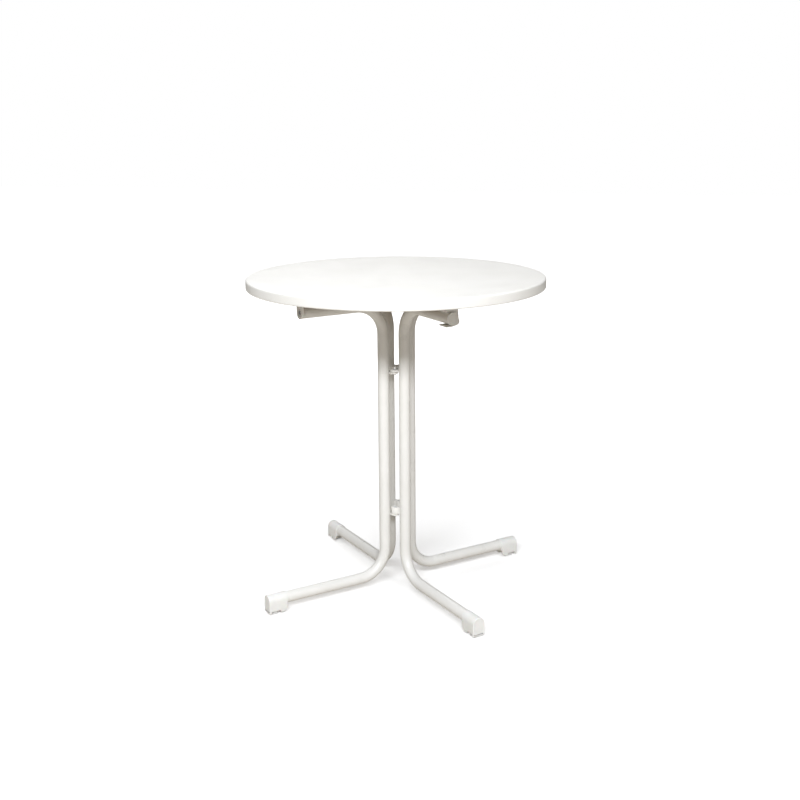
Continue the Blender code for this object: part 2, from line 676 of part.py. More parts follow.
def arm_plug(material):
    """Round plug that closes the hooked arm. Z runs out of the tube from its end face."""
    body = TUBE_BORE_RADIUS - 2 * CONTACT_GAP
    rim = TUBE_RADIUS + ARM_PLUG_MARGIN
    face = CONTACT_GAP + ARM_PLUG_THICKNESS
    edge = ARM_PLUG_THICKNESS / 3
    return turned(
        "arm_plug",
        [
            (0, face),
            (rim - edge, face),
            (rim, face - edge),
            (rim, CONTACT_GAP),
            (body, CONTACT_GAP),
            (body, -PLUG_DEPTH),
            (0, -PLUG_DEPTH),
        ],
        material,
    )


def make_hook(leg, angle, frame, swinging, plastic):
    """Hook clip under the top, and the plug of the arm that rests in it."""
    upright = (QUARTER_TURN, 0, angle + QUARTER_TURN)
    place = around(angle, HOOK_REACH, ARM_Z)
    clip = add(f"hook_clip_{leg}", hook_clip(plastic), frame, place, upright)
    radius = clearing_radius(WOOD_SCREW_RADIUS, ROUND_SIDES)
    hole = drill("hook_hole", radius, -FLANGE_TOP - FLANGE_THICKNESS, -FLANGE_BOTTOM + FLANGE_THICKNESS)
    for number, offset in enumerate((-HOOK_SCREW_OFFSET, HOOK_SCREW_OFFSET), 1):
        cut(clip, f"hook_hole_{leg}_{number}", hole, (0, 0, offset), (QUARTER_TURN, 0, 0))
    end = around(angle, HOOK_TUBE_END, ARM_Z)
    add(f"arm_plug_{leg}", arm_plug(plastic), swinging, end, (0, QUARTER_TURN, angle))


def wood_screw(material):
    """Screw driven up into the board; z = 0 is the underside of the flange."""
    edge = WOOD_SCREW_HEAD_HEIGHT / 3
    low = -CONTACT_GAP - WOOD_SCREW_HEAD_HEIGHT
    return turned(
        "wood_screw",
        [
            (0, WOOD_SCREW_LENGTH),
            (WOOD_SCREW_RADIUS / 2, WOOD_SCREW_LENGTH),
            (WOOD_SCREW_RADIUS, WOOD_SCREW_LENGTH - 2 * WOOD_SCREW_RADIUS),
            (WOOD_SCREW_RADIUS, -CONTACT_GAP),
            (WOOD_SCREW_HEAD_RADIUS, -CONTACT_GAP),
            (WOOD_SCREW_HEAD_RADIUS, low + edge),
            (WOOD_SCREW_HEAD_RADIUS - edge, low),
            (0, low),
        ],
        material,
    )


def make_screws(leg, angle, frame, zinc):
    kind = "hook_screw" if leg in SWING_LEGS else "bracket_screw"
    for number, reach in enumerate(screw_reaches(leg), 1):
        place = around(angle, reach, ARM_Z + FLANGE_BOTTOM)
        add(f"{kind}_{leg}_{number}", wood_screw(zinc), frame, place)


# Assembly ---------------------------------------------------------------------------------


def build():
    clear_scene()
    steel = finish_material("white_powder_coat", (0.83, 0.83, 0.81), 0.35)
    board = finish_material("white_moulded_board", (0.90, 0.90, 0.88), 0.30)
    plastic = finish_material("white_polypropylene", (0.80, 0.80, 0.78), 0.45)
    pad_plastic = finish_material("pale_grey_polyamide", (0.70, 0.71, 0.71), 0.50)
    nylon = finish_material("natural_nylon", (0.78, 0.76, 0.70), 0.50)
    zinc = finish_material("zinc_plated_steel", (0.62, 0.63, 0.65), 0.35, 1.0)

    frame = add_empty("frame")
    make_top(frame, board)
    for leg, angle in FIXED_LEGS.items():
        tube = f"fixed_tube_{leg}"
        add(tube, bent_tube(tube, PIVOT_TUBE_END, steel), frame, rotation=(0, 0, angle))
        make_foot(leg, angle, frame, plastic, pad_plastic)
        make_pivot(leg, angle, frame, plastic, zinc)
        make_screws(leg, angle, frame, zinc)
    for level, height in LEVELS.items():
        make_link_plate(level, height, frame, steel)

    for leg, angle in SWING_LEGS.items():
        swinging = add_empty(f"swing_leg_{leg}", around(angle - math.pi / 4, KNUCKLE_REACH))
        tube = f"swing_tube_{leg}"
        mesh = bent_tube(tube, HOOK_TUBE_END, steel)
        add(tube, mesh, swinging, rotation=(0, 0, angle))
        make_foot(leg, angle, swinging, plastic, pad_plastic)
        make_hook(leg, angle, frame, swinging, plastic)
        make_screws(leg, angle, frame, zinc)
        for level, height in LEVELS.items():
            make_hinge(leg, level, height, frame, swinging, steel, zinc, nylon)


build()
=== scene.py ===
"""The looks of a round white folding table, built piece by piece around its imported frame.

The sections follow the table as it is put together. Most pieces are drawn in the frame of their
leg: X runs out along the leg, Y across it and Z up, with the origin on the floor under the middle
of the top. Sizes are in metres.
"""

import json
import math

import bpy
import numpy as np
from mathutils import Matrix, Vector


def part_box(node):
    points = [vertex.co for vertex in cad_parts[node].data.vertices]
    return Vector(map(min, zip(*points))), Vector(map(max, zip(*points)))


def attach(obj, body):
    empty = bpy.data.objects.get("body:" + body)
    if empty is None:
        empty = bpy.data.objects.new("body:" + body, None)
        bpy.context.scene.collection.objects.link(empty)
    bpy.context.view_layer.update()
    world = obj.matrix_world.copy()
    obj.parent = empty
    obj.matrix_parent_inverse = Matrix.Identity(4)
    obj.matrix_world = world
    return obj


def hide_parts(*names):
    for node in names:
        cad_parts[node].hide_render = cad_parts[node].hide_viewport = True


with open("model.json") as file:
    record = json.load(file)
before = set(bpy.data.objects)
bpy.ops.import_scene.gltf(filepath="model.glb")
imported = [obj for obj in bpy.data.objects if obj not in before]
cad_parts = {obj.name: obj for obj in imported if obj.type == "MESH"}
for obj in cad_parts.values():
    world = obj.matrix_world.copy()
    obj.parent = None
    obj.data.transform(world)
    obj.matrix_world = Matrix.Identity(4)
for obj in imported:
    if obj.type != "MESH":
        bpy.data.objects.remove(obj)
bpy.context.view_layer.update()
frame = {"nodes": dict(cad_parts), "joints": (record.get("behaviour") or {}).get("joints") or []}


# Camera -------------------------------------------------------------------------------------
# A 50 mm lens at eye height of someone seated, looking a little down on the top, so that the
# front-left leg comes out to the left and the front-right leg towards the viewer.

camera_reach = 2.3874
camera_height = 1.0717
camera_azimuth = math.radians(-75.31)
camera_heading = math.radians(14.515)
camera_tilt = math.radians(75.163)
camera_roll = math.radians(-0.383)

camera = bpy.data.objects.new("camera", bpy.data.cameras.new("camera"))
camera.data.sensor_width = 36.0
camera.data.lens = 49.6
bpy.context.scene.collection.objects.link(camera)
camera_place = (
    camera_reach * math.cos(camera_azimuth),
    camera_reach * math.sin(camera_azimuth),
    camera_height,
)
camera.matrix_world = (
    Matrix.Translation(camera_place)
    @ Matrix.Rotation(camera_heading, 4, "Z")
    @ Matrix.Rotation(camera_tilt, 4, "X")
    @ Matrix.Rotation(camera_roll, 4, "Z")
)
bpy.context.scene.camera = camera


# Table top ----------------------------------------------------------------------------------
# A board of wood particles and resin, pressed hot in one mould together with its white melamine
# face. It leaves the press with its rounded rim, its recessed underside and its screw pads.

GAP = 0.0003  # the clearance that the CAD pieces keep where they touch

top_low, top_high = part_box("table_top")
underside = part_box("pivot_bracket_front_left")[1].z + GAP
rim_band = 0.030
recess_depth = underside - top_low.z
rim_upper_radius = 0.004
rim_lower_radius = 0.003
recess_radius = 0.002
centre_pad_radius = 0.150
centre_pad_depth = 0.0006
centre_ring = 0.004  # radius of the polygon that closes the middle of either face


def to_linear(hex_colour):
    """Linear RGBA of an sRGB hex colour."""
    srgb = np.array([int(hex_colour[i : i + 2], 16) for i in (0, 2, 4)]) / 255
    linear = np.where(srgb <= 0.04045, srgb / 12.92, ((srgb + 0.055) / 1.055) ** 2.4)
    return (*linear, 1.0)


def add_node(tree, kind, settings=None, links=None):
    """Adds a shader node. A setting is one of its inputs, by name or number, or a property."""
    node = tree.nodes.new(kind)
    for key, value in (settings or {}).items():
        if isinstance(key, int) or key in node.inputs:
            node.inputs[key].default_value = value
        else:
            setattr(node, key, value)
    for key, source in (links or {}).items():
        tree.links.new(source, node.inputs[key])
    return node


def begin_material(name):
    """A new material with an empty node tree, and its object coordinates, which are in metres."""
    material = bpy.data.materials.new(name)
    material.use_nodes = True
    tree = material.node_tree
    tree.nodes.clear()
    return material, tree, add_node(tree, "ShaderNodeTexCoord").outputs["Object"]


def rounded(corners, closed=False, steps=7):
    """Points along an outline through (x, y, radius) corners.

    A corner of radius r whose sides meet at an angle a becomes an arc about the point that lies
    r / sin(a/2) along the bisector, from r / tan(a/2) before the corner to as much after it.
    """
    points = []
    for i, (x, y, radius) in enumerate(corners):
        corner = np.array([x, y])
        if radius == 0 or (not closed and i in (0, len(corners) - 1)):
            points.append(corner)
            continue
        before = np.array(corners[i - 1][:2]) - corner
        after = np.array(corners[(i + 1) % len(corners)][:2]) - corner
        before /= np.linalg.norm(before)
        after /= np.linalg.norm(after)
        half = math.acos(np.clip(before @ after, -1, 1)) / 2
        bisector = (before + after) / np.linalg.norm(before + after)
        centre = corner + bisector * radius / math.sin(half)
        first = corner + before * radius / math.tan(half) - centre
        left_turn = before[0] * after[1] < before[1] * after[0]
        sweep = (math.pi - 2 * half) * (1 if left_turn else -1)
        angles = math.atan2(first[1], first[0]) + sweep * np.linspace(0, 1, steps)
        points += list(centre + radius * np.stack([np.cos(angles), np.sin(angles)], axis=1))
    return np.array(points)


def turned(profile, sides=64):
    """Rings (r cos t, r sin t, h) of a profile of (r, h) points turned about Z."""
    around = np.linspace(0, 2 * np.pi, sides, endpoint=False)
    rings = np.empty((len(profile), sides, 3))
    rings[..., 0] = profile[:, :1] * np.cos(around)
    rings[..., 1] = profile[:, :1] * np.sin(around)
    rings[..., 2] = profile[:, 1:]
    return rings


def skin(name, shells, material, sharp=32):
    """One object from closed shells, each given as (rings, joined).

    The rings are an array (ring, point, 3), and each ring's last point joins its first. Quads run
    from ring to ring. The last ring joins the first where joined is true, and otherwise one
    polygon closes each end. A shell's volume is the sum of v0 . (v1 x v2) / 6 over its triangles;
    where that comes out negative, its faces are turned to look outwards.
    """
    points, faces, start = [], [], 0
    for rings, joined in shells:
        count, around = rings.shape[:2]
        index = np.arange(count * around).reshape(count, around)
        near = index if joined else index[:-1]
        far = np.roll(index, -1, axis=0) if joined else index[1:]
        quads = np.stack([near, np.roll(near, -1, 1), np.roll(far, -1, 1), far], axis=-1)
        quads = quads.reshape(-1, 4)
        polygons = [] if joined else [index[0, ::-1], index[-1]]
        flat = rings.reshape(-1, 3)
        triangles = [quads[:, :3], quads[:, [0, 2, 3]]]
        for polygon in polygons:
            fan = [np.full(around - 2, polygon[0]), polygon[1:-1], polygon[2:]]
            triangles.append(np.stack(fan, axis=1))
        corners = flat[np.concatenate(triangles)]
        volume = np.einsum("ij,ij->", corners[:, 0], np.cross(corners[:, 1], corners[:, 2]))
        way = -1 if volume < 0 else 1
        faces += (quads[:, ::way] + start).tolist()
        faces += [(polygon[::way] + start).tolist() for polygon in polygons]
        points.append(flat)
        start += len(flat)
    mesh = bpy.data.meshes.new(name)
    mesh.from_pydata(np.concatenate(points).tolist(), [], faces)
    mesh.shade_smooth()
    mesh.set_sharp_from_angle(angle=math.radians(sharp))
    mesh.materials.append(material)
    obj = bpy.data.objects.new(name, mesh)
    bpy.context.scene.collection.objects.link(obj)
    return obj


def top_profile():
    """Half section of the board from the middle of its face, round the rim, to the underside."""
    radius = top_high.x
    band = radius - rim_band
    face = [(r, top_high.z) for r in np.linspace(centre_ring, band, 12)]
    rim = rounded(
        [
            (band, top_high.z, 0),
            (radius, top_high.z, rim_upper_radius),
            (radius, top_low.z, rim_lower_radius),
            (band, top_low.z, recess_radius),
            (band - recess_depth, underside, recess_radius),
            (centre_pad_radius, underside, recess_radius / 2),
            (centre_pad_radius - centre_pad_depth, underside + centre_pad_depth, recess_radius / 2),
            (centre_ring, underside + centre_pad_depth, 0),
        ],
        steps=14,
    )
    return np.concatenate([face[:-1], rim])


# Melamine face on moulded board, satin. The press plate leaves a pebble of about a millimetre, too
# fine to see from a chair, so the relief is drawn at 5 mm as well; the eye reads it as a faint
# unevenness in the reflections, over a white that clouds by about one part in a hundred. The
# recessed underside is painted a mottled warm grey brown as painted shade: it darkens and warms
# the light that it bounces onto the arms below.
board_white, tree, place = begin_material("melamine_faced_moulded_board_satin")
cloud = add_node(tree, "ShaderNodeTexNoise", {"Scale": 1 / 0.12, "Detail": 3.0}, {"Vector": place})
spread = add_node(
    tree, "ShaderNodeMapRange", {"From Min": 0.35, "From Max": 0.65}, {"Value": cloud.outputs[0]}
)
tone = add_node(
    tree,
    "ShaderNodeMix",
    {"data_type": "RGBA", 6: to_linear("F3F2EE"), 7: to_linear("F6F5F2")},
    {0: spread.outputs[0]},
)
level_place = add_node(
    tree, "ShaderNodeVectorMath", {"operation": "MULTIPLY", 1: (1, 1, 0)}, {0: place}
)
from_axis = add_node(
    tree, "ShaderNodeVectorMath", {"operation": "LENGTH"}, {0: level_place.outputs[0]}
)
height = add_node(tree, "ShaderNodeSeparateXYZ", {}, {0: place})
# Mask for the painted shade: the recessed underside, inside the rim band and below the board's
# middle.
in_recess, below_face = (
    add_node(tree, "ShaderNodeMath", {"operation": "LESS_THAN", 1: limit}, {0: measure})
    for measure, limit in (
        (from_axis.outputs["Value"], top_high.x - rim_band),
        (height.outputs[2], (underside + top_high.z) / 2),
    )
)
painted_underside_mask = add_node(
    tree,
    "ShaderNodeMath",
    {"operation": "MULTIPLY"},
    {0: in_recess.outputs[0], 1: below_face.outputs[0]},
)
# Painted shade: a mottled warm grey brown on the recessed underside, which darkens and warms its
# bounce onto the arms.
underside_mottle = add_node(tree, "ShaderNodeTexNoise", {"Scale": 1 / 0.004, "Detail": 4.0}, {"Vector": place})
painted_underside_brown = add_node(
    tree,
    "ShaderNodeMix",
    {"data_type": "RGBA", 6: to_linear("8E7F6B"), 7: to_linear("9D8F7C")},
    {0: underside_mottle.outputs[0]},
)
tone = add_node(
    tree,
    "ShaderNodeMix",
    {"data_type": "RGBA"},
    {0: painted_underside_mask.outputs[0], 6: tone.outputs[2], 7: painted_underside_brown.outputs[2]},
)
handled = add_node(
    tree, "ShaderNodeTexNoise", {"Scale": 1 / 0.035, "Detail": 4.0}, {"Vector": place}
)
satin = add_node(
    tree,
    "ShaderNodeMapRange",
    {"From Min": 0.3, "From Max": 0.7, "To Min": 0.34, "To Max": 0.44},
    {"Value": handled.outputs[0]},
)
pebble = add_node(
    tree, "ShaderNodeTexNoise", {"Scale": 1 / 0.0011, "Detail": 2.0}, {"Vector": place}
)
fine = add_node(
    tree, "ShaderNodeBump", {"Strength": 0.25, "Distance": 0.00002}, {"Height": pebble.outputs[0]}
)
swell = add_node(tree, "ShaderNodeTexNoise", {"Scale": 1 / 0.005, "Detail": 2.0}, {"Vector": place})
relief = add_node(
    tree,
    "ShaderNodeBump",
    {"Strength": 0.3, "Distance": 0.00006},
    {"Height": swell.outputs[0], "Normal": fine.outputs[0]},
)
shader = add_node(
    tree,
    "ShaderNodeBsdfPrincipled",
    {"IOR": 1.52},
    {"Base Color": tone.outputs[2], "Roughness": satin.outputs[0], "Normal": relief.outputs[0]},
)
add_node(tree, "ShaderNodeOutputMaterial", {}, {"Surface": shader.outputs[0]})

board = skin("moulded_table_top", [(turned(top_profile(), 256), False)], board_white)
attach(board, "frame")
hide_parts("table_top")


# Bent tubes ---------------------------------------------------------------------------------
# Four lengths of 25 mm welded steel tube, each bent twice into a C: leg, upright and arm. A bend
# flattens the tube a little. They are blasted and powder coated white after welding.

BEND_RADIUS = 0.065
TUBE_WALL = 0.0015
BEND_FLATTENING = 0.018  # share of the radius that is lost half way round a bend
TUBE_END_EDGE = 0.0003

legs = {}
for leg in ("front_left", "back_right", "front_right", "back_left"):
    cap_low, cap_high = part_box(f"foot_cap_{leg}")
    cap_middle = (cap_low + cap_high) / 2
    legs[leg] = math.atan2(cap_middle.y, cap_middle.x)
leg_bodies = {
    "front_left": "frame",
    "back_right": "frame",
    "front_right": "swing_leg_front_right",
    "back_left": "swing_leg_back_left",
}
tube_nodes = {
    leg: f"fixed_tube_{leg}" if body == "frame" else f"swing_tube_{leg}"
    for leg, body in leg_bodies.items()
}


def about_z(points, angle):
    """The points turned about the table's axis."""
    c, s = math.cos(angle), math.sin(angle)
    return points @ np.array([[c, s, 0], [-s, c, 0], [0, 0, 1]])


def leg_box(node, leg):
    """Lowest and highest corner of a CAD node, measured in its leg's frame."""
    mesh = frame["nodes"][node].data
    points = np.empty(len(mesh.vertices) * 3, np.float32)
    mesh.vertices.foreach_get("co", points)
    points = about_z(points.reshape(-1, 3), -legs[leg])
    return points.min(0), points.max(0)


tube_low, tube_high = leg_box("fixed_tube_front_left", "front_left")
tube_radius = tube_high[1]
upright_reach = tube_low[0] + tube_radius
leg_height = tube_low[2] + tube_radius
arm_height = tube_high[2] - tube_radius
foot_tube_end = tube_high[0]


def centre_line(arm_end, bend_steps=28):
    """Stations (x, z, turn) of a tube: the leg runs in, a quarter turn up, the upright, a quarter
    turn out, and the arm. On a bend, x = b - r sin t and z = c -+ r cos t for its centre (b, c)."""
    bend_x = upright_reach + BEND_RADIUS
    quarter = np.linspace(0, np.pi / 2, bend_steps)
    turn = np.concatenate([[0], quarter, quarter + np.pi / 2, [np.pi]])
    x = bend_x - BEND_RADIUS * np.sin(turn)
    middle = np.where(turn > np.pi / 2, arm_height - BEND_RADIUS, leg_height + BEND_RADIUS)
    middle[bend_steps + 1] = arm_height - BEND_RADIUS
    z = middle - BEND_RADIUS * np.cos(turn)
    x[0], x[-1] = foot_tube_end, arm_end
    return x, z, turn


def bent_tube(arm_end, radius, sides=56):
    """Rings square to the centre line: r cos a away from the bend's centre, r sin a across it."""
    x, z, turn = (values[:, None] for values in centre_line(arm_end))
    around = np.linspace(0, 2 * np.pi, sides, endpoint=False)
    flattened = radius * (1 - BEND_FLATTENING * np.sin(2 * turn) ** 2)
    away = flattened * np.cos(around)
    across = radius * np.sin(around) * np.ones_like(turn)
    return np.stack([x - away * np.sin(turn), across, z - away * np.cos(turn)], axis=-1)


def with_broken_edges(rings, edge, end_rings):
    """The rings with a narrower one added at each end, which breaks the cut tube's sharp edge."""
    first, last = end_rings
    step = (rings[0] - rings[1]) / np.linalg.norm(rings[0] - rings[1], axis=1, keepdims=True)
    other = (rings[-1] - rings[-2]) / np.linalg.norm(rings[-1] - rings[-2], axis=1, keepdims=True)
    rings = rings.copy()
    rings[0] -= step * edge
    rings[-1] -= other * edge
    return np.concatenate([first[None], rings, last[None]])


# Polyester powder coat on steel, semi-gloss. It melts and levels in the oven into orange peel of 2
# to 3 mm, drawn here with a slower 9 mm roll that shows from a distance; the film is evenly white,
# and only its gloss drifts a little.
powder_coat, tree, place = begin_material("white_polyester_powder_coat_semi_gloss")
drift = add_node(tree, "ShaderNodeTexNoise", {"Scale": 1 / 0.06, "Detail": 3.0}, {"Vector": place})
spread = add_node(
    tree, "ShaderNodeMapRange", {"From Min": 0.35, "From Max": 0.65}, {"Value": drift.outputs[0]}
)
tone = add_node(
    tree,
    "ShaderNodeMix",
    {"data_type": "RGBA", 6: to_linear("ECEBE7"), 7: to_linear("F0EFEC")},
    {0: spread.outputs[0]},
)
gloss = add_node(
    tree,
    "ShaderNodeMapRange",
    {"From Min": 0.3, "From Max": 0.7, "To Min": 0.26, "To Max": 0.36},
    {"Value": drift.outputs[0]},
)
peel = add_node(tree, "ShaderNodeTexNoise", {"Scale": 1 / 0.0024, "Detail": 1.0}, {"Vector": place})
fine = add_node(
    tree, "ShaderNodeBump", {"Strength": 0.35, "Distance": 0.00004}, {"Height": peel.outputs[0]}
)
roll = add_node(tree, "ShaderNodeTexNoise", {"Scale": 1 / 0.009, "Detail": 1.0}, {"Vector": place})
relief = add_node(
    tree,
    "ShaderNodeBump",
    {"Strength": 0.35, "Distance": 0.00012},
    {"Height": roll.outputs[0], "Normal": fine.outputs[0]},
)
shader = add_node(
    tree,
    "ShaderNodeBsdfPrincipled",
    {"IOR": 1.5},
    {"Base Color": tone.outputs[2], "Roughness": gloss.outputs[0], "Normal": relief.outputs[0]},
)
add_node(tree, "ShaderNodeOutputMaterial", {}, {"Surface": shader.outputs[0]})

PLUG_FLANGE = 0.002
ARM_PLUG_FACE = 0.003
pivot_face = leg_box("pivot_plug_front_left", "front_left")[1][0]
hooked_face = leg_box("arm_plug_front_right", "front_right")[1][0]
pivot_tube_end = pivot_face - GAP - PLUG_FLANGE
hooked_tube_end = hooked_face - GAP - ARM_PLUG_FACE

for leg, angle in legs.items():
    arm_end = pivot_tube_end if leg_bodies[leg] == "frame" else hooked_tube_end
    outside = bent_tube(arm_end, tube_radius)
    narrower = bent_tube(arm_end, tube_radius - TUBE_END_EDGE)
    bore = bent_tube(arm_end, tube_radius - TUBE_WALL)[::-1]
    outside = with_broken_edges(outside, TUBE_END_EDGE, (narrower[0], narrower[-1]))
    rings = about_z(np.concatenate([outside, bore]), angle)
    tube = skin(f"bent_steel_tube_{leg}", [(rings, True)], powder_coat)
    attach(tube, leg_bodies[leg])
    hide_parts(tube_nodes[leg])


# Link plates --------------------------------------------------------------------------------
# Two short straps of 3 mm steel, punched with an ear for each hinge pin. They are welded between
# the two fixed uprights and are coated with them.

PLATE_WIDTH = 0.016
EAR_RADIUS = 0.0085
PLATE_EDGE = 0.0006
joints = {joint["name"]: joint for joint in frame["joints"]}
hinge_reach = -joints["swing_front_right"]["pos_m"][1]
knuckle = hinge_reach / math.sqrt(2)


def arc(centre, radius, start, end, steps):
    """Points centre + radius (cos a, sin a), with a running from start to end."""
    angles = np.linspace(start, end, steps)
    return np.array(centre) + radius * np.stack([np.cos(angles), np.sin(angles)], axis=1)


def inset(outline, distance):
    """A closed anticlockwise outline moved inwards, along the normal of its neighbours' chord."""
    chord = np.roll(outline, -1, axis=0) - np.roll(outline, 1, axis=0)
    chord /= np.linalg.norm(chord, axis=1, keepdims=True)
    return outline + distance * np.stack([-chord[:, 1], chord[:, 0]], axis=1)


def at_height(outline, z):
    """Flat points lifted to a height."""
    return np.column_stack([outline, np.full(len(outline), z)])


def slab(outline, low, high, edge, steps=4):
    """Rings of an outline raised from low to high, with edges rounded by quarter circles: at the
    angle a the outline is inset by e (1 - sin a), at e (1 - cos a) from the face."""
    turns = np.linspace(0, np.pi / 2, steps)
    levels = [(turn, low + edge * (1 - math.cos(turn))) for turn in turns]
    levels += [(turn, high - edge * (1 - math.cos(turn))) for turn in turns[::-1]]
    rings = [at_height(inset(outline, edge * (1 - math.sin(turn))), z) for turn, z in levels]
    return np.array(rings)


def link_outline():
    """Strip hollowed to fit each fixed tube, with an ear about each pin. X runs back right."""
    hollow = tube_radius + GAP
    spread = math.asin(PLATE_WIDTH / 2 / hollow)
    half = [
        arc((-upright_reach, 0), hollow, spread, -spread, 20),
        arc((-knuckle, -knuckle), EAR_RADIUS, math.pi, 2 * math.pi, 36),
        rounded(
            [
                (EAR_RADIUS - knuckle, -knuckle, 0),
                (EAR_RADIUS - knuckle, -PLATE_WIDTH / 2, 0.002),
                (0, -PLATE_WIDTH / 2, 0),
            ]
        )[1:],
    ]
    half = np.concatenate(half)
    return np.concatenate([half, -half])


for level in ("upper", "lower"):
    low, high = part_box(f"link_plate_{level}")
    rings = about_z(slab(link_outline(), low.z, high.z, PLATE_EDGE), legs["back_right"])
    plate = skin(f"punched_link_plate_{level}", [(rings, False)], powder_coat)
    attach(plate, "frame")
    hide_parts(f"link_plate_{level}")


# Hinge barrels ------------------------------------------------------------------------------
# A machined eye with a web, welded to the side of each swinging upright. The pin runs through it
# and its head sits down in a counterbore, so that nothing stands proud between the tubes.

WEB_WIDTH = 0.010
BARREL_EDGE = 0.0005
PIN_RADIUS = 0.003
PIN_HEAD_RADIUS = 0.0042
COUNTERBORE_MARGIN = 0.0006
COUNTERBORE_DEPTH = 0.003

hinge_axes = {"front": (0.0, -hinge_reach), "back": (0.0, hinge_reach)}
hinge_legs = {"front": "front_right", "back": "back_left"}


def hinge_heading(side):
    """Direction from a hinge's axis to the swinging upright, and how far that upright is."""
    angle = legs[hinge_legs[side]]
    x = upright_reach * math.cos(angle) - hinge_axes[side][0]
    y = upright_reach * math.sin(angle) - hinge_axes[side][1]
    return math.atan2(y, x), math.hypot(x, y)


def barrel_rings(low, high, to_tube):
    """The eye's outline about the pin's axis, joined face by face to its stepped bore.

    Every ring has a point at the same polar angles as the outline: on a round ring of radius r
    that is r (cos a, sin a).
    """
    hollow = tube_radius + GAP
    start = math.asin(WEB_WIDTH / 2 / EAR_RADIUS)
    spread = math.asin(WEB_WIDTH / 2 / hollow)
    eye = arc((0, 0), EAR_RADIUS, start, 2 * math.pi - start, 60)
    saddle = arc((to_tube, 0), hollow, math.pi + spread, math.pi - spread, 14)
    outline = np.concatenate([eye, saddle])
    unit = outline / np.linalg.norm(outline, axis=1, keepdims=True)
    bore = (PIN_RADIUS + GAP) * unit
    wide = (PIN_HEAD_RADIUS + COUNTERBORE_MARGIN) * unit
    step = high - COUNTERBORE_DEPTH
    rings = [at_height(bore, low), at_height(bore, step)]
    rings += [at_height(wide, step), at_height(wide, high - BARREL_EDGE)]
    rings.append(at_height(wide + BARREL_EDGE * unit, high))
    body = slab(outline, low, high, BARREL_EDGE)[::-1]
    return np.concatenate([rings, body])


for side, (axis_x, axis_y) in hinge_axes.items():
    heading, to_tube = hinge_heading(side)
    for level in ("upper", "lower"):
        low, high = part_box(f"hinge_barrel_{side}_{level}")
        rings = about_z(barrel_rings(low.z, high.z, to_tube), heading) + (axis_x, axis_y, 0)
        barrel = skin(f"machined_hinge_barrel_{side}_{level}", [(rings, True)], powder_coat)
        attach(barrel, leg_bodies[hinge_legs[side]])
        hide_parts(f"hinge_barrel_{side}_{level}")


# Weld seams ---------------------------------------------------------------------------------
# Short fillet welds hold the link plates to the fixed tubes and the barrels' webs to the swinging
# ones. The puddles' ripples stay visible under the powder coat.

SEAM_RADIUS = 0.0013
RIPPLE_PITCH = 0.0016
RIPPLE_DEPTH = 0.12  # share of the seam's radius
SEAM_COVER = 0.92  # share of the plate's joint that is welded
seam_reach = tube_radius + SEAM_RADIUS / 3  # tube's axis to the bead's middle


def seam(path, up, radius=SEAM_RADIUS, sides=14):
    """A bead along a path: rings square to it, of radius r (1 - d sin^2 of the pitch) that closes
    like an ellipse over the last radius of each end."""
    along = np.gradient(path, axis=0)
    along /= np.linalg.norm(along, axis=1, keepdims=True)
    side = np.cross(along, up)
    side /= np.linalg.norm(side, axis=1, keepdims=True)
    upward = np.cross(side, along)
    run = np.concatenate([[0], np.cumsum(np.linalg.norm(np.diff(path, axis=0), axis=1))])
    end = np.clip(np.minimum(run, run[-1] - run) / radius, 0.02, 1)
    size = radius * np.sqrt(1 - (1 - end) ** 2)
    size = size * (1 - RIPPLE_DEPTH * np.sin(np.pi * run / RIPPLE_PITCH) ** 2)
    around = np.linspace(0, 2 * np.pi, sides, endpoint=False)[None, :, None]
    ring = side[:, None] * np.cos(around) + upward[:, None] * np.sin(around)
    return path[:, None] + size[:, None, None] * ring


for level in ("upper", "lower"):
    low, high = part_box(f"link_plate_{level}")
    spread = math.asin(PLATE_WIDTH / 2 / tube_radius) * SEAM_COVER
    shells = []
    for sign in (-1, 1):
        facing = math.pi if sign > 0 else 0.0
        for z in (low.z - SEAM_RADIUS / 3, high.z + SEAM_RADIUS / 3):
            middle = (sign * upright_reach, 0)
            path = arc(middle, seam_reach, facing - spread, facing + spread, 60)
            rings = about_z(seam(at_height(path, z), (0, 0, 1)), legs["back_right"])
            shells.append((rings, False))
    seams = skin(f"weld_seams_link_plate_{level}", shells, powder_coat, sharp=60)
    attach(seams, "frame")

for side, (axis_x, axis_y) in hinge_axes.items():
    heading, to_tube = hinge_heading(side)
    for level in ("upper", "lower"):
        low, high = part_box(f"hinge_barrel_{side}_{level}")
        shells = []
        for sign in (-1, 1):
            turn = math.pi - sign * math.asin(WEB_WIDTH / 2 / tube_radius)
            x = to_tube + seam_reach * math.cos(turn)
            y = seam_reach * math.sin(turn)
            heights = np.linspace(low.z + 0.0004, high.z - 0.0002, 60)
            path = np.column_stack([np.full(60, x), np.full(60, y), heights])
            rings = about_z(seam(path, (1, 0, 0)), heading) + (axis_x, axis_y, 0)
            shells.append((rings, False))
        seams = skin(f"weld_seams_barrel_{side}_{level}", shells, powder_coat, sharp=60)
        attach(seams, leg_bodies[hinge_legs[side]])


# Hinge pins and washers ---------------------------------------------------------------------
# Zinc-plated rivets stand on the link plates' ears. The head sits down in its barrel, with the
# stub of the snapped-off mandrel in the middle, and a washer of natural nylon lies underneath.

PIN_HEAD_HEIGHT = 0.0012
PIN_STUB_RADIUS = 0.0018
PIN_STUB_HEIGHT = 0.0013
PIN_FOOT_HEIGHT = 0.002
PIN_FOOT_RADIUS = 0.005
WASHER_EDGE = 0.0002
MIDDLE = 0.0003  # radius of the polygon that closes the middle of a turned piece

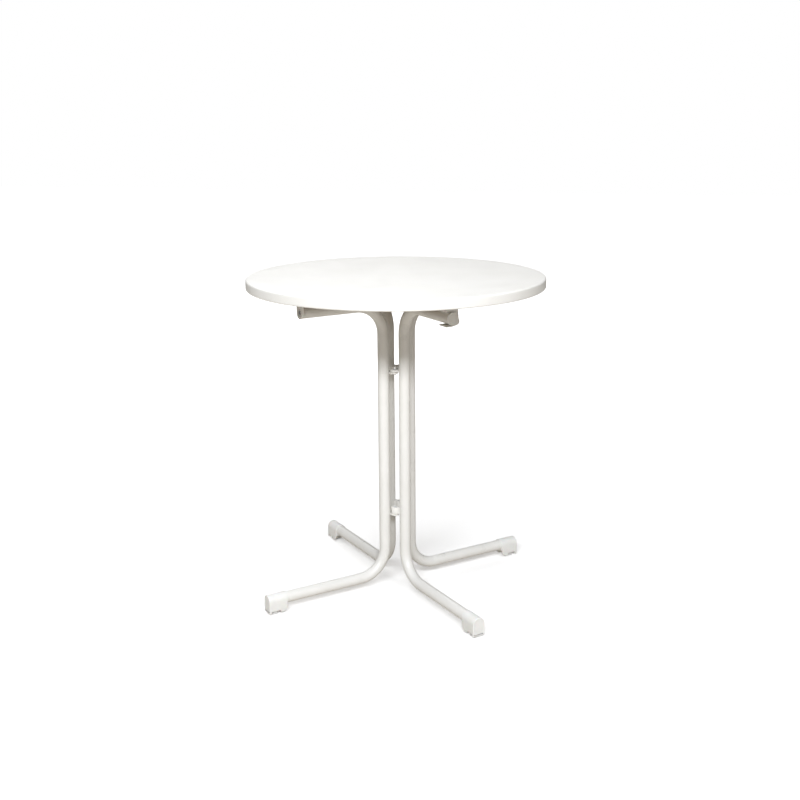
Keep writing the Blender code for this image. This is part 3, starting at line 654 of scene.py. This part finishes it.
# Bright zinc plate over drawn steel. Zinc is a slightly blue grey metal; the plating lies in soft
# patches of a few millimetres, drawn at 4 mm, that change its gloss more than its colour.
zinc, tree, place = begin_material("bright_zinc_plated_steel")
patches = add_node(
    tree, "ShaderNodeTexNoise", {"Scale": 1 / 0.004, "Detail": 3.0}, {"Vector": place}
)
spread = add_node(
    tree, "ShaderNodeMapRange", {"From Min": 0.35, "From Max": 0.65}, {"Value": patches.outputs[0]}
)
tone = add_node(
    tree,
    "ShaderNodeMix",
    {"data_type": "RGBA", 6: to_linear("BFC2C6"), 7: to_linear("CDCFD0")},
    {0: spread.outputs[0]},
)
gloss = add_node(
    tree, "ShaderNodeMapRange", {"To Min": 0.22, "To Max": 0.42}, {"Value": patches.outputs[0]}
)
drawn = add_node(
    tree, "ShaderNodeTexNoise", {"Scale": 1 / 0.0006, "Detail": 2.0}, {"Vector": place}
)
relief = add_node(
    tree, "ShaderNodeBump", {"Strength": 0.2, "Distance": 0.00001}, {"Height": drawn.outputs[0]}
)
shader = add_node(
    tree,
    "ShaderNodeBsdfPrincipled",
    {"Metallic": 1.0},
    {"Base Color": tone.outputs[2], "Roughness": gloss.outputs[0], "Normal": relief.outputs[0]},
)
add_node(tree, "ShaderNodeOutputMaterial", {}, {"Surface": shader.outputs[0]})

# Natural nylon, moulded. It is a milky, faintly warm white that lets a little light into itself.
nylon, tree, place = begin_material("natural_nylon_moulded")
milky = add_node(tree, "ShaderNodeTexNoise", {"Scale": 1 / 0.003, "Detail": 2.0}, {"Vector": place})
tone = add_node(
    tree,
    "ShaderNodeMix",
    {"data_type": "RGBA", 6: to_linear("DDD8CA"), 7: to_linear("E6E2D6")},
    {0: milky.outputs[0]},
)
satin = add_node(
    tree, "ShaderNodeMapRange", {"To Min": 0.42, "To Max": 0.56}, {"Value": milky.outputs[0]}
)
shader = add_node(
    tree,
    "ShaderNodeBsdfPrincipled",
    {"IOR": 1.53, "Subsurface Weight": 0.1, "Subsurface Scale": 0.001},
    {"Base Color": tone.outputs[2], "Roughness": satin.outputs[0]},
)
add_node(tree, "ShaderNodeOutputMaterial", {}, {"Surface": shader.outputs[0]})


def pin_profile(low, high):
    """(radius, height) from the top of the mandrel's stub down to the middle of the upset foot."""
    head = high - PIN_STUB_HEIGHT
    seat = head - PIN_HEAD_HEIGHT
    foot = low + PIN_FOOT_HEIGHT
    return rounded(
        [
            (MIDDLE, high, 0),
            (PIN_STUB_RADIUS, high, 0.0003),
            (PIN_STUB_RADIUS, head, 0.0002),
            (PIN_HEAD_RADIUS, head, 0.0005),
            (PIN_HEAD_RADIUS, seat, 0),
            (PIN_RADIUS, seat, 0),
            (PIN_RADIUS, foot, 0),
            (PIN_FOOT_RADIUS, foot, 0),
            (PIN_FOOT_RADIUS, low, 0.0012),
            (MIDDLE, low, 0),
        ]
    )


for side, (axis_x, axis_y) in hinge_axes.items():
    for level in ("upper", "lower"):
        low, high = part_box(f"hinge_pin_{side}_{level}")
        rings = turned(pin_profile(low.z, high.z), 48) + (axis_x, axis_y, 0)
        pin = skin(f"riveted_hinge_pin_{side}_{level}", [(rings, False)], zinc)
        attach(pin, "frame")
        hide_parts(f"hinge_pin_{side}_{level}")

        low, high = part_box(f"hinge_washer_{side}_{level}")
        outer = (high.x - low.x) / 2
        inner = PIN_RADIUS + GAP
        section = [(inner, low.z, 0), (inner, high.z, 0)]
        section += [(outer, high.z, WASHER_EDGE), (outer, low.z, WASHER_EDGE)]
        rings = turned(rounded(section, closed=True), 48) + (axis_x, axis_y, 0)
        washer = skin(f"nylon_hinge_washer_{side}_{level}", [(rings, True)], nylon)
        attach(washer, "frame")
        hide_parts(f"hinge_washer_{side}_{level}")


# Foot caps ----------------------------------------------------------------------------------
# Injection-moulded polypropylene caps, pushed over the ends of the legs. Each is round above and
# has a block below, with a slot across it for the levelling foot and two cheeks behind that.

CAP_EDGE = 0.0014
CAP_SEAM_EDGE = 0.0016
CAP_END_WALL = 0.004
CAP_BLOCK_LENGTH = 0.033
CAP_BLOCK_CURVE = 0.010
CHEEK_WALL = 0.0022
CHEEK_WEB = 0.002
CHEEK_CORNER = 0.0009
SLOT_HALF = 0.0113
SLOT_ROOF_PLAY = 0.0015
SLEEVE_EDGE = 0.0007
FACE_DISH = 0.0004
FACE_BORDER = 0.0022

# Polypropylene, injection moulded in a spark-eroded tool, satin. The tool leaves a grain of half a
# millimetre; a 3 mm one is drawn over it to show. The plastic is a touch greyer and duller than
# the coated steel, and cools unevenly, which shows as a slow drift in its tone.
polypropylene, tree, place = begin_material("white_polypropylene_moulded_satin")
cooling = add_node(
    tree, "ShaderNodeTexNoise", {"Scale": 1 / 0.02, "Detail": 2.0}, {"Vector": place}
)
spread = add_node(
    tree, "ShaderNodeMapRange", {"From Min": 0.35, "From Max": 0.65}, {"Value": cooling.outputs[0]}
)
tone = add_node(
    tree,
    "ShaderNodeMix",
    {"data_type": "RGBA", 6: to_linear("EDEDEA"), 7: to_linear("F2F2F0")},
    {0: spread.outputs[0]},
)
satin = add_node(
    tree, "ShaderNodeMapRange", {"To Min": 0.38, "To Max": 0.54}, {"Value": cooling.outputs[0]}
)
spark = add_node(
    tree, "ShaderNodeTexNoise", {"Scale": 1 / 0.0005, "Detail": 2.0}, {"Vector": place}
)
fine = add_node(
    tree, "ShaderNodeBump", {"Strength": 0.3, "Distance": 0.00002}, {"Height": spark.outputs[0]}
)
grain = add_node(tree, "ShaderNodeTexNoise", {"Scale": 1 / 0.003, "Detail": 2.0}, {"Vector": place})
relief = add_node(
    tree,
    "ShaderNodeBump",
    {"Strength": 0.3, "Distance": 0.00006},
    {"Height": grain.outputs[0], "Normal": fine.outputs[0]},
)
shader = add_node(
    tree,
    "ShaderNodeBsdfPrincipled",
    {"IOR": 1.49, "Subsurface Weight": 0.06, "Subsurface Scale": 0.0015},
    {"Base Color": tone.outputs[2], "Roughness": satin.outputs[0], "Normal": relief.outputs[0]},
)
add_node(tree, "ShaderNodeOutputMaterial", {}, {"Surface": shader.outputs[0]})


def cap_outline(radius, depth, hollow):
    """Section across the cap as (y, z) about the tube's axis, anticlockwise seen from the end.

    A half circle above; straight sides down to rounded corners at the depth; and between the
    cheeks either the flat bottom or, where hollow is given, a path up to that height and back.
    """
    above = arc((0, 0), radius, 0, math.pi, 41)
    inside = radius - CHEEK_WALL
    left = rounded([(-radius, 0, 0), (-radius, -depth, CAP_SEAM_EDGE), (-inside, -depth, 0)])
    if hollow is None:
        middle = np.linspace((-inside, -depth), (inside, -depth), 19)[1:-1]
    else:
        corner = min(CHEEK_CORNER, (depth - hollow) / 3)
        path = [(-inside, -depth, 0), (-inside, -hollow, corner)]
        path += [(inside, -hollow, corner), (inside, -depth, 0)]
        path = rounded(path)[1:-1]
        roof = np.linspace(path[6], path[7], 5)[1:-1]
        middle = np.concatenate([path[:7], roof, path[7:]])
    right = left[::-1] * (-1, 1)
    return np.concatenate([above, left[1:], middle, right[:-1]])


def cap_rings(length, radius, depth, bore):
    """Rings from the dished end face back over the block, the slot, the cheeks and the sleeve,
    then into the bore. The block's rear end falls away as a quarter of an ellipse."""
    slot_depth = depth - foot_sink - SLOT_ROOF_PLAY
    slot_start = cap_end - foot_axis - SLOT_HALF
    slot_end = slot_start + 2 * SLOT_HALF
    rings = []

    def put(station, outline):
        rings.append(np.column_stack([np.full(len(outline), cap_end - station), outline]))

    solid = cap_outline(radius, depth, None)
    for share, dish in ((2, FACE_DISH), (1.3, FACE_DISH), (1, 0)):
        put(dish, inset(solid, share * FACE_BORDER))
    for turn in np.linspace(np.pi / 2, 0, 6):
        put(CAP_EDGE * (1 - math.sin(turn)), inset(solid, CAP_EDGE * (1 - math.cos(turn))))
    put(slot_start, solid)
    put(slot_start, cap_outline(radius, slot_depth, None))
    put(slot_end, cap_outline(radius, slot_depth, None))
    put(slot_end, solid)
    put(slot_end + CHEEK_WEB, solid)
    for turn in np.linspace(0, np.pi / 2, 12)[:-1]:
        station = CAP_BLOCK_LENGTH + CAP_BLOCK_CURVE * math.sin(turn)
        falling = radius + (depth - radius) * math.cos(turn)
        if turn == 0:
            put(slot_end + CHEEK_WEB, cap_outline(radius, depth, radius))
        put(station, cap_outline(radius, falling, radius))
    last = rings[-1][:, 1:]
    unit = last / np.linalg.norm(last, axis=1, keepdims=True)
    put(CAP_BLOCK_LENGTH + CAP_BLOCK_CURVE, radius * unit)
    for turn in np.linspace(0, np.pi / 2, 5):
        edge = SLEEVE_EDGE * (1 - math.cos(turn))
        put(length - SLEEVE_EDGE * (1 - math.sin(turn)), (radius - edge) * unit)
    put(length, (bore + SLEEVE_EDGE / 4) * unit)
    put(length - SLEEVE_EDGE / 4, bore * unit)
    put(CAP_END_WALL, bore * unit)
    return np.array(rings)


cap_low, cap_high = leg_box("foot_cap_front_left", "front_left")
foot_low, foot_high = leg_box("levelling_foot_front_left", "front_left")
foot_axis = (foot_low[0] + foot_high[0]) / 2
cap_end = cap_high[0]
cap_radius = cap_high[2] - leg_height
cap_depth = leg_height - cap_low[2]
FOOT_PAD_THICKNESS = 0.0065
foot_sink = FOOT_PAD_THICKNESS - cap_low[2]

for leg, angle in legs.items():
    rings = cap_rings(cap_end - cap_low[0], cap_radius, cap_depth, tube_radius + GAP)
    rings = about_z(rings + (0, 0, leg_height), angle)
    cap = skin(f"moulded_foot_cap_{leg}", [(rings, False)], polypropylene)
    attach(cap, leg_bodies[leg])
    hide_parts(f"foot_cap_{leg}")


# Levelling feet -----------------------------------------------------------------------------
# Moulded polyamide discs on a threaded stub, turned by hand through the slot to take up an
# uneven floor. Their rims are fluted for the fingers.

FLUTES = 24
FLUTE_DEPTH = 0.0005
FOOT_STUB_RADIUS = 0.004
THREAD_PITCH = 0.0015
THREAD_DEPTH = 0.0004

# Polyamide, moulded, matt. Tougher and a little greyer than the caps, scuffed by the floor: the
# wear is a fine scratching of about 2 mm that only changes the gloss and the relief.
polyamide, tree, place = begin_material("pale_grey_polyamide_moulded_matt")
scuff = add_node(tree, "ShaderNodeTexNoise", {"Scale": 1 / 0.002, "Detail": 5.0}, {"Vector": place})
tone = add_node(
    tree,
    "ShaderNodeMix",
    {"data_type": "RGBA", 6: to_linear("DCDDDD"), 7: to_linear("E6E7E6")},
    {0: scuff.outputs[0]},
)
dull = add_node(
    tree, "ShaderNodeMapRange", {"To Min": 0.45, "To Max": 0.65}, {"Value": scuff.outputs[0]}
)
relief = add_node(
    tree, "ShaderNodeBump", {"Strength": 0.3, "Distance": 0.00005}, {"Height": scuff.outputs[0]}
)
shader = add_node(
    tree,
    "ShaderNodeBsdfPrincipled",
    {"IOR": 1.53},
    {"Base Color": tone.outputs[2], "Roughness": dull.outputs[0], "Normal": relief.outputs[0]},
)
add_node(tree, "ShaderNodeOutputMaterial", {}, {"Surface": shader.outputs[0]})


def levelling_foot(pad_radius, height, sides=192):
    """A turned foot. Round its rim the radius is R - d cos^2 of half the flutes' angle, fading out
    over the rounded edges; up its stub the radius rises and falls once in a thread's pitch."""
    edge = 0.0008
    under = rounded([(MIDDLE, 0, 0), (pad_radius, 0, edge), (pad_radius, 2 * edge, 0)])
    over = (under[1:-1] * (1, -1) + (0, FOOT_PAD_THICKNESS))[::-1]
    pad = np.concatenate([under[:-1], over, [(FOOT_STUB_RADIUS, FOOT_PAD_THICKNESS)]])
    rise = np.linspace(FOOT_PAD_THICKNESS, height - THREAD_DEPTH, 34)[1:]
    wave = THREAD_DEPTH * np.sin(np.pi * (rise - FOOT_PAD_THICKNESS) / THREAD_PITCH) ** 2
    stub = np.column_stack([FOOT_STUB_RADIUS - wave, rise])
    end = [(FOOT_STUB_RADIUS / 2, height), (MIDDLE, height)]
    rings = turned(np.concatenate([pad, stub, end]), sides)
    reach = np.hypot(rings[..., 0], rings[..., 1])
    around = np.arctan2(rings[..., 1], rings[..., 0])
    on_rim = np.clip((reach - pad_radius + edge) / edge, 0, 1)
    cut = FLUTE_DEPTH * np.cos(FLUTES * around / 2) ** 2 * on_rim
    rings[..., :2] *= (1 - cut / reach)[..., None]
    return rings


for leg, angle in legs.items():
    pad_radius = (foot_high[0] - foot_low[0]) / 2
    rings = about_z(levelling_foot(pad_radius, foot_high[2]) + (foot_axis, 0, 0), angle)
    foot = skin(f"fluted_levelling_foot_{leg}", [(rings, False)], polyamide)
    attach(foot, f"foot_{leg}")
    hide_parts(f"levelling_foot_{leg}")


# Pivot brackets, plugs and screws -----------------------------------------------------------
# A moulded bracket under the top holds the end of each fixed arm: an ear across the tube's end,
# and a flange along the board. A flanged plug closes the tube, and the screw through ear and plug
# is the line that the top folds about.

EAR_THICKNESS = 0.005
EAR_EDGE = 0.0007
EAR_COUNTERBORE_RADIUS = 0.008
EAR_COUNTERBORE_DEPTH = 0.0025
EAR_MOUTH_FLARE = 0.0005
FLANGE_THICKNESS = 0.003
FLANGE_FILLET = 0.003
PLUG_DEPTH = 0.018
PIVOT_SCREW_RADIUS = 0.0025
PIVOT_SCREW_HEAD = 0.0048
PIVOT_SCREW_HEAD_HEIGHT = 0.0026


def facing_out(rings, reach, height):
    """Lays a turned shape down, so that its Z axis runs out along the leg from this point."""
    x, y, z = np.moveaxis(rings, -1, 0)
    return np.stack([reach + z, y, height - x], axis=-1)


def bracket_rings(inner, outer, half, low, top):
    """Level slices of the bracket, as rounded rectangles, from the ear's round foot to the top.

    Below the arm's axis the ear is sqrt(R^2 - z^2) to each side. Over the last few millimetres
    under the flange, the slice runs out along a quarter circle into it.
    """
    ear_out = inner + EAR_THICKNESS
    flange_low = top - FLANGE_THICKNESS
    slices = []
    for turn in np.linspace(0.06, np.pi / 2, 22):
        slices.append((arm_height - half * math.cos(turn), half * math.sin(turn), ear_out))
    slices.append((flange_low - FLANGE_FILLET, half, ear_out))
    for turn in np.linspace(0, np.pi / 2, 7)[1:]:
        z = flange_low - FLANGE_FILLET * (1 - math.sin(turn))
        slices.append((z, half, ear_out + FLANGE_FILLET * (1 - math.cos(turn))))
    slices.append((flange_low, half, outer - EAR_EDGE))
    slices.append((flange_low + EAR_EDGE, half, outer))
    slices.append((top - EAR_EDGE / 2, half, outer))
    slices.append((top, half - EAR_EDGE / 2, outer - EAR_EDGE / 2))
    rings = []
    for z, side, out in slices:
        edge = min(EAR_EDGE, side / 3)
        corners = [(inner, -side, edge), (out, -side, edge), (out, side, edge), (inner, side, edge)]
        rings.append(at_height(rounded(corners, closed=True, steps=5), z))
    return np.array(rings)


def carve(obj, tools, operation="DIFFERENCE"):
    """Applies a Boolean of the object with each tool, and removes the tools."""
    for tool in tools:
        boolean = obj.modifiers.new("boolean", "BOOLEAN")
        boolean.operation = operation
        boolean.object = tool
    evaluated = obj.evaluated_get(bpy.context.evaluated_depsgraph_get())
    mesh = bpy.data.meshes.new_from_object(evaluated)
    obj.modifiers.clear()
    obj.data = mesh
    mesh.shade_smooth()
    mesh.set_sharp_from_angle(angle=math.radians(32))
    for tool in tools:
        bpy.data.objects.remove(tool)


def crossed_head(radius, height, shank, tip, sides=80):
    """A pan head on a shank, from the middle of the head at z = height down to the tip.

    The head is a shallow dome h (1 - 0.35 (r/R)^2), sunk by a cross whose arms are w wide and L
    long: the depth fades out over an edge of 0.15 mm with the distance from each arm's side.
    """
    around = np.linspace(0, 2 * np.pi, sides, endpoint=False)
    reach = np.concatenate([np.linspace(0.02, 0.9, 26), [0.96, 1.0]]) * radius
    x = reach[:, None] * np.cos(around)
    y = reach[:, None] * np.sin(around)
    width, length, deep, fade = radius * 0.13, radius * 0.62, height * 0.6, 0.00015

    def within(offset, limit):
        """1 inside the limit and 0 beyond it, with a straight ramp as wide as the fade."""
        return np.clip((limit - abs(offset)) / fade + 0.5, 0, 1)

    arms = np.maximum(
        within(x, width) * within(y, length),
        within(y, width) * within(x, length),
    )
    dome = height * (1 - 0.35 * (reach[:, None] / radius) ** 2)
    head = np.stack([x, y, dome - deep * arms], axis=-1)
    below = turned(np.array([(radius, 0), (shank, 0), (shank, tip + shank), (MIDDLE, tip)]), sides)
    return np.concatenate([head, below])


ear_low, ear_high = leg_box("pivot_bracket_front_left", "front_left")
ear_inner, flange_outer, ear_half, flange_top = ear_low[0], ear_high[0], ear_high[1], ear_high[2]
ear_face = ear_inner + EAR_THICKNESS
screw_low, screw_high = leg_box("pivot_screw_front_left", "front_left")

for leg in ("front_left", "back_right"):
    angle = legs[leg]
    rings = about_z(bracket_rings(ear_inner, flange_outer, ear_half, ear_low[2], flange_top), angle)
    bracket = skin(f"moulded_pivot_bracket_{leg}", [(rings, False)], polypropylene)
    wide, deep = EAR_COUNTERBORE_RADIUS, EAR_COUNTERBORE_DEPTH
    hole, beyond = PIVOT_SCREW_RADIUS + GAP, 2 * EAR_THICKNESS
    sink = [(MIDDLE, deep), (wide + EAR_MOUTH_FLARE, deep), (wide, 0), (wide, -deep)]
    sink += [(hole, -deep), (hole, -beyond), (MIDDLE, -beyond)]
    rings = about_z(facing_out(turned(np.array(sink), 72), ear_face, arm_height), angle)
    carve(bracket, [skin("counterbore", [(rings, False)], polypropylene)])
    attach(bracket, "frame")
    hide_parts(f"pivot_bracket_{leg}")

    flange = pivot_face - pivot_tube_end
    body = tube_radius - TUBE_WALL - 2 * GAP
    section = [(hole, -PLUG_DEPTH, 0), (hole, flange, 0), (tube_radius, flange, 0.0006)]
    section += [(tube_radius, GAP, 0.0003), (body, GAP, 0), (body, -PLUG_DEPTH, 0.0006)]
    rings = facing_out(turned(rounded(section, closed=True), 72), pivot_tube_end, arm_height)
    plug = skin(f"flanged_pivot_plug_{leg}", [(about_z(rings, angle), True)], polypropylene)
    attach(plug, "frame")
    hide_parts(f"pivot_plug_{leg}")

    seat = screw_high[0] - PIVOT_SCREW_HEAD_HEIGHT
    head = crossed_head(
        PIVOT_SCREW_HEAD, PIVOT_SCREW_HEAD_HEIGHT, PIVOT_SCREW_RADIUS, screw_low[0] - seat
    )
    rings = about_z(facing_out(head, seat, arm_height), angle)
    screw = skin(f"crosshead_pivot_screw_{leg}", [(rings, False)], zinc)
    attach(screw, "frame")
    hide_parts(f"pivot_screw_{leg}")


# Hook clips and arm plugs -------------------------------------------------------------------
# The swinging arms rest in moulded hooks screwed under the top: a saddle over the tube, one wall,
# and a springy lip that curls round under it. A plain plug closes each arm's end.

HOOK_WALL = 0.0032
HOOK_LIP_DROP = 0.0015
HOOK_ROOT_SWELL = 0.0058  # extra thickness where the wall turns into the lip
HOOK_SWELL_AT = math.radians(25)  # below the level of the bowl's centre
HOOK_SWELL_SPREAD = math.radians(26)
HOOK_LIP_REACH = 0.0115
HOOK_LENGTH = 0.028
HOOK_EDGE = 0.0008


def hook_outline(left, flange_low, overlap):
    """Section across the arm, (y, z) about its axis: saddle, wall and lip, open to the -Y side.

    The wall turns into the lip along a quarter circle about a point just under the tube's axis.
    Its outer side stands off by the wall and by a swell s exp(-((a + 25 deg) / 26 deg)^2).
    """
    inner = tube_radius + 2 * GAP
    outer = inner + HOOK_WALL
    bowl = np.array([0, -HOOK_LIP_DROP])
    turn = np.linspace(0, -math.pi / 2, 40)
    inside = bowl + inner * np.stack([np.cos(turn), np.sin(turn)], axis=1)
    swell = HOOK_ROOT_SWELL * np.exp(-(((turn + HOOK_SWELL_AT) / HOOK_SWELL_SPREAD) ** 2))
    reach = (outer + swell)[:, None]
    outside = bowl + reach * np.stack([np.cos(turn), np.sin(turn)], axis=1)
    lip = rounded(
        [
            (*inside[-1], 0),
            (-HOOK_LIP_REACH, inside[-1, 1] - 0.0004, 0.001),
            (-HOOK_LIP_REACH, outside[-1, 1], 0.0014),
            (*outside[-1], 0),
        ]
    )
    saddle = rounded([(left, flange_low + overlap, 0), (left, inner, 0.0012), (0, inner, 0)])
    seat = arc((0, 0), inner, math.pi / 2, 0, 26)[1:]
    wall = [(outer, flange_low * 0.6), (outer, flange_low + overlap)]
    return np.concatenate([saddle[:-1], seat, inside[1:-1], lip, outside[-2::-1], wall])


def along_arm(rings):
    """Turns slabs drawn as (y, z, x) into the leg's frame."""
    return np.stack([rings[..., 2], rings[..., 0], rings[..., 1]], axis=-1)


for leg in ("front_right", "back_left"):
    angle = legs[leg]
    hook_low, hook_high = leg_box(f"hook_clip_{leg}", leg)
    middle = (hook_low[0] + hook_high[0]) / 2
    left, right = hook_low[1], hook_high[1]
    flange_top = hook_high[2]
    flange_low = flange_top - FLANGE_THICKNESS
    outline = hook_outline(left, flange_low - arm_height, FLANGE_THICKNESS / 2)
    rings = slab(outline, middle - HOOK_LENGTH / 2, middle + HOOK_LENGTH / 2, HOOK_EDGE)
    rings = about_z(along_arm(rings) + (0, 0, arm_height), angle)
    hook = skin(f"moulded_hook_clip_{leg}", [(rings, False)], polypropylene)
    corners = [(hook_low[0], left, 0.004), (hook_high[0], left, 0.004)]
    corners += [(hook_high[0], right, 0.004), (hook_low[0], right, 0.004)]
    rings = slab(rounded(corners, closed=True), flange_low, flange_top, EAR_EDGE)
    carve(hook, [skin("hook_flange", [(about_z(rings, angle), False)], polypropylene)], "UNION")
    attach(hook, "frame")
    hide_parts(f"hook_clip_{leg}")

    plug_radius = leg_box(f"arm_plug_{leg}", leg)[1][1]
    face = hooked_face - hooked_tube_end
    body = tube_radius - TUBE_WALL - 2 * GAP
    profile = [(MIDDLE, face, 0), (plug_radius * 0.55, face, 0.01)]
    profile += [(plug_radius, face - 0.0003, 0.0011), (plug_radius, GAP, 0.0003)]
    profile += [(body, GAP, 0), (body, -PLUG_DEPTH, 0.001), (MIDDLE, -PLUG_DEPTH, 0)]
    rings = facing_out(turned(rounded(profile), 72), hooked_tube_end, arm_height)
    plug = skin(f"domed_arm_plug_{leg}", [(about_z(rings, angle), False)], polypropylene)
    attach(plug, leg_bodies[leg])
    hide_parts(f"arm_plug_{leg}")


# Wood screws --------------------------------------------------------------------------------
# Eight zinc-plated pan-head screws hold the brackets and the hooks to the board, driven up into
# its thickness from below.

WOOD_SCREW_RADIUS = 0.0019
WOOD_SCREW_HEAD = 0.0038
WOOD_SCREW_HEAD_HEIGHT = 0.0018

for leg, angle in legs.items():
    kind = "bracket_screw" if leg_bodies[leg] == "frame" else "hook_screw"
    for number in (1, 2):
        low, high = leg_box(f"{kind}_{leg}_{number}", leg)
        reach = (low[0] + high[0]) / 2
        seat = low[2] + WOOD_SCREW_HEAD_HEIGHT
        head = crossed_head(
            WOOD_SCREW_HEAD, WOOD_SCREW_HEAD_HEIGHT, WOOD_SCREW_RADIUS, seat - high[2], sides=48
        )
        rings = about_z(head * (1, -1, -1) + (reach, 0, seat), angle)
        screw = skin(f"crosshead_{kind}_{leg}_{number}", [(rings, False)], zinc)
        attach(screw, "frame")
        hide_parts(f"{kind}_{leg}_{number}")


# Stage --------------------------------------------------------------------------------------
# A plain white sweep under a wide softbox high in front. For the camera the paper glows, more with
# distance, and returns a touch more light than falls on it, so that it reads evenly white and keeps
# only contact shadows; the table and its bounce see a darker warm paper. Weaker softboxes stand to
# the right, overhead, low in front and behind, and the room's own light is dim and a little warm.

FLOOR_HALF = 12.0
FLOOR_DROP = 0.0002  # keeps the floor off the levelling feet's faces

floor_white, tree, place = begin_material("white_paper_sweep")
paper = add_node(tree, "ShaderNodeBsdfDiffuse", {"Color": to_linear("C9C2B7")})
# Painted light: only the camera sees this bright paper and the glow added to it below.
lit_paper = add_node(tree, "ShaderNodeBsdfDiffuse", {"Color": (1.06, 1.06, 1.06, 1)})
away = add_node(tree, "ShaderNodeVectorMath", {"operation": "LENGTH"}, {0: place})
brighter = add_node(
    tree,
    "ShaderNodeMapRange",
    {"From Min": 0.6, "From Max": 2.2, "To Min": 0.22, "To Max": 1.0},
    {"Value": away.outputs["Value"]},
)
glow = add_node(tree, "ShaderNodeEmission", {}, {"Strength": brighter.outputs[0]})
bright = add_node(
    tree, "ShaderNodeAddShader", {}, {0: lit_paper.outputs[0], 1: glow.outputs[0]}
)
ray = add_node(tree, "ShaderNodeLightPath")
both = add_node(
    tree,
    "ShaderNodeMixShader",
    {},
    {0: ray.outputs["Is Camera Ray"], 1: paper.outputs[0], 2: bright.outputs[0]},
)
under = add_node(tree, "ShaderNodeNewGeometry")
clear = add_node(tree, "ShaderNodeBsdfTransparent")
seen = add_node(
    tree,
    "ShaderNodeMixShader",
    {},
    {0: under.outputs["Backfacing"], 1: both.outputs[0], 2: clear.outputs[0]},
)
add_node(tree, "ShaderNodeOutputMaterial", {}, {"Surface": seen.outputs[0]})

corners = np.array([(-1, -1, 0), (1, -1, 0), (1, 1, 0), (-1, 1, 0)]) * FLOOR_HALF
corners -= (0, 0, FLOOR_DROP)
floor_mesh = bpy.data.meshes.new("floor")
floor_mesh.from_pydata(corners.tolist(), [], [(0, 1, 2, 3)])
floor_mesh.materials.append(floor_white)
floor = bpy.data.objects.new("floor", floor_mesh)
bpy.context.scene.collection.objects.link(floor)

world = bpy.data.worlds.new("studio")
bpy.context.scene.world = world
world.use_nodes = True
tree = world.node_tree
tree.nodes.clear()
room = add_node(tree, "ShaderNodeBackground", {"Color": to_linear("FFFCF7"), "Strength": 0.18})
backdrop = add_node(tree, "ShaderNodeBackground", {"Color": (1, 1, 1, 1), "Strength": 1.0})
ray = add_node(tree, "ShaderNodeLightPath")
both = add_node(
    tree,
    "ShaderNodeMixShader",
    {},
    {0: ray.outputs["Is Camera Ray"], 1: room.outputs[0], 2: backdrop.outputs[0]},
)
add_node(tree, "ShaderNodeOutputWorld", {}, {"Surface": both.outputs[0]})
bpy.context.scene.view_settings.view_transform = "Standard"

target = np.array([0, 0, 0.40])
for name, azimuth, elevation, distance, width, height, watts, colour in (
    ("key_softbox", -84, 33.5, 4.0, 2.6, 0.55, 126, "F8FBFF"),
    ("right_softbox", -46, 34, 4.0, 1.4, 0.6, 30, "FBFCFF"),
    ("overhead_softbox", -130, 80, 2.6, 1.8, 1.8, 27, "FFFFFF"),
    ("low_front_fill", -52, 8, 3.2, 1.6, 0.8, 4, "FFFFFF"),
    ("back_softbox", 120, 36, 3.6, 2.4, 1.0, 22, "FFFFFF"),
):
    azimuth, elevation = math.radians(azimuth), math.radians(elevation)
    level = math.cos(elevation)
    way = np.array([level * math.cos(azimuth), level * math.sin(azimuth), math.sin(elevation)])
    light = bpy.data.lights.new(name, "AREA")
    light.shape = "RECTANGLE"
    light.size, light.size_y = width, height
    light.energy = watts
    light.color = to_linear(colour)[:3]
    lamp = bpy.data.objects.new(name, light)
    bpy.context.scene.collection.objects.link(lamp)
    heading = Matrix.Rotation(azimuth + math.pi / 2, 4, "Z")
    tilt = Matrix.Rotation(math.pi / 2 - elevation, 4, "X")
    lamp.matrix_world = Matrix.Translation(target + way * distance) @ heading @ tilt
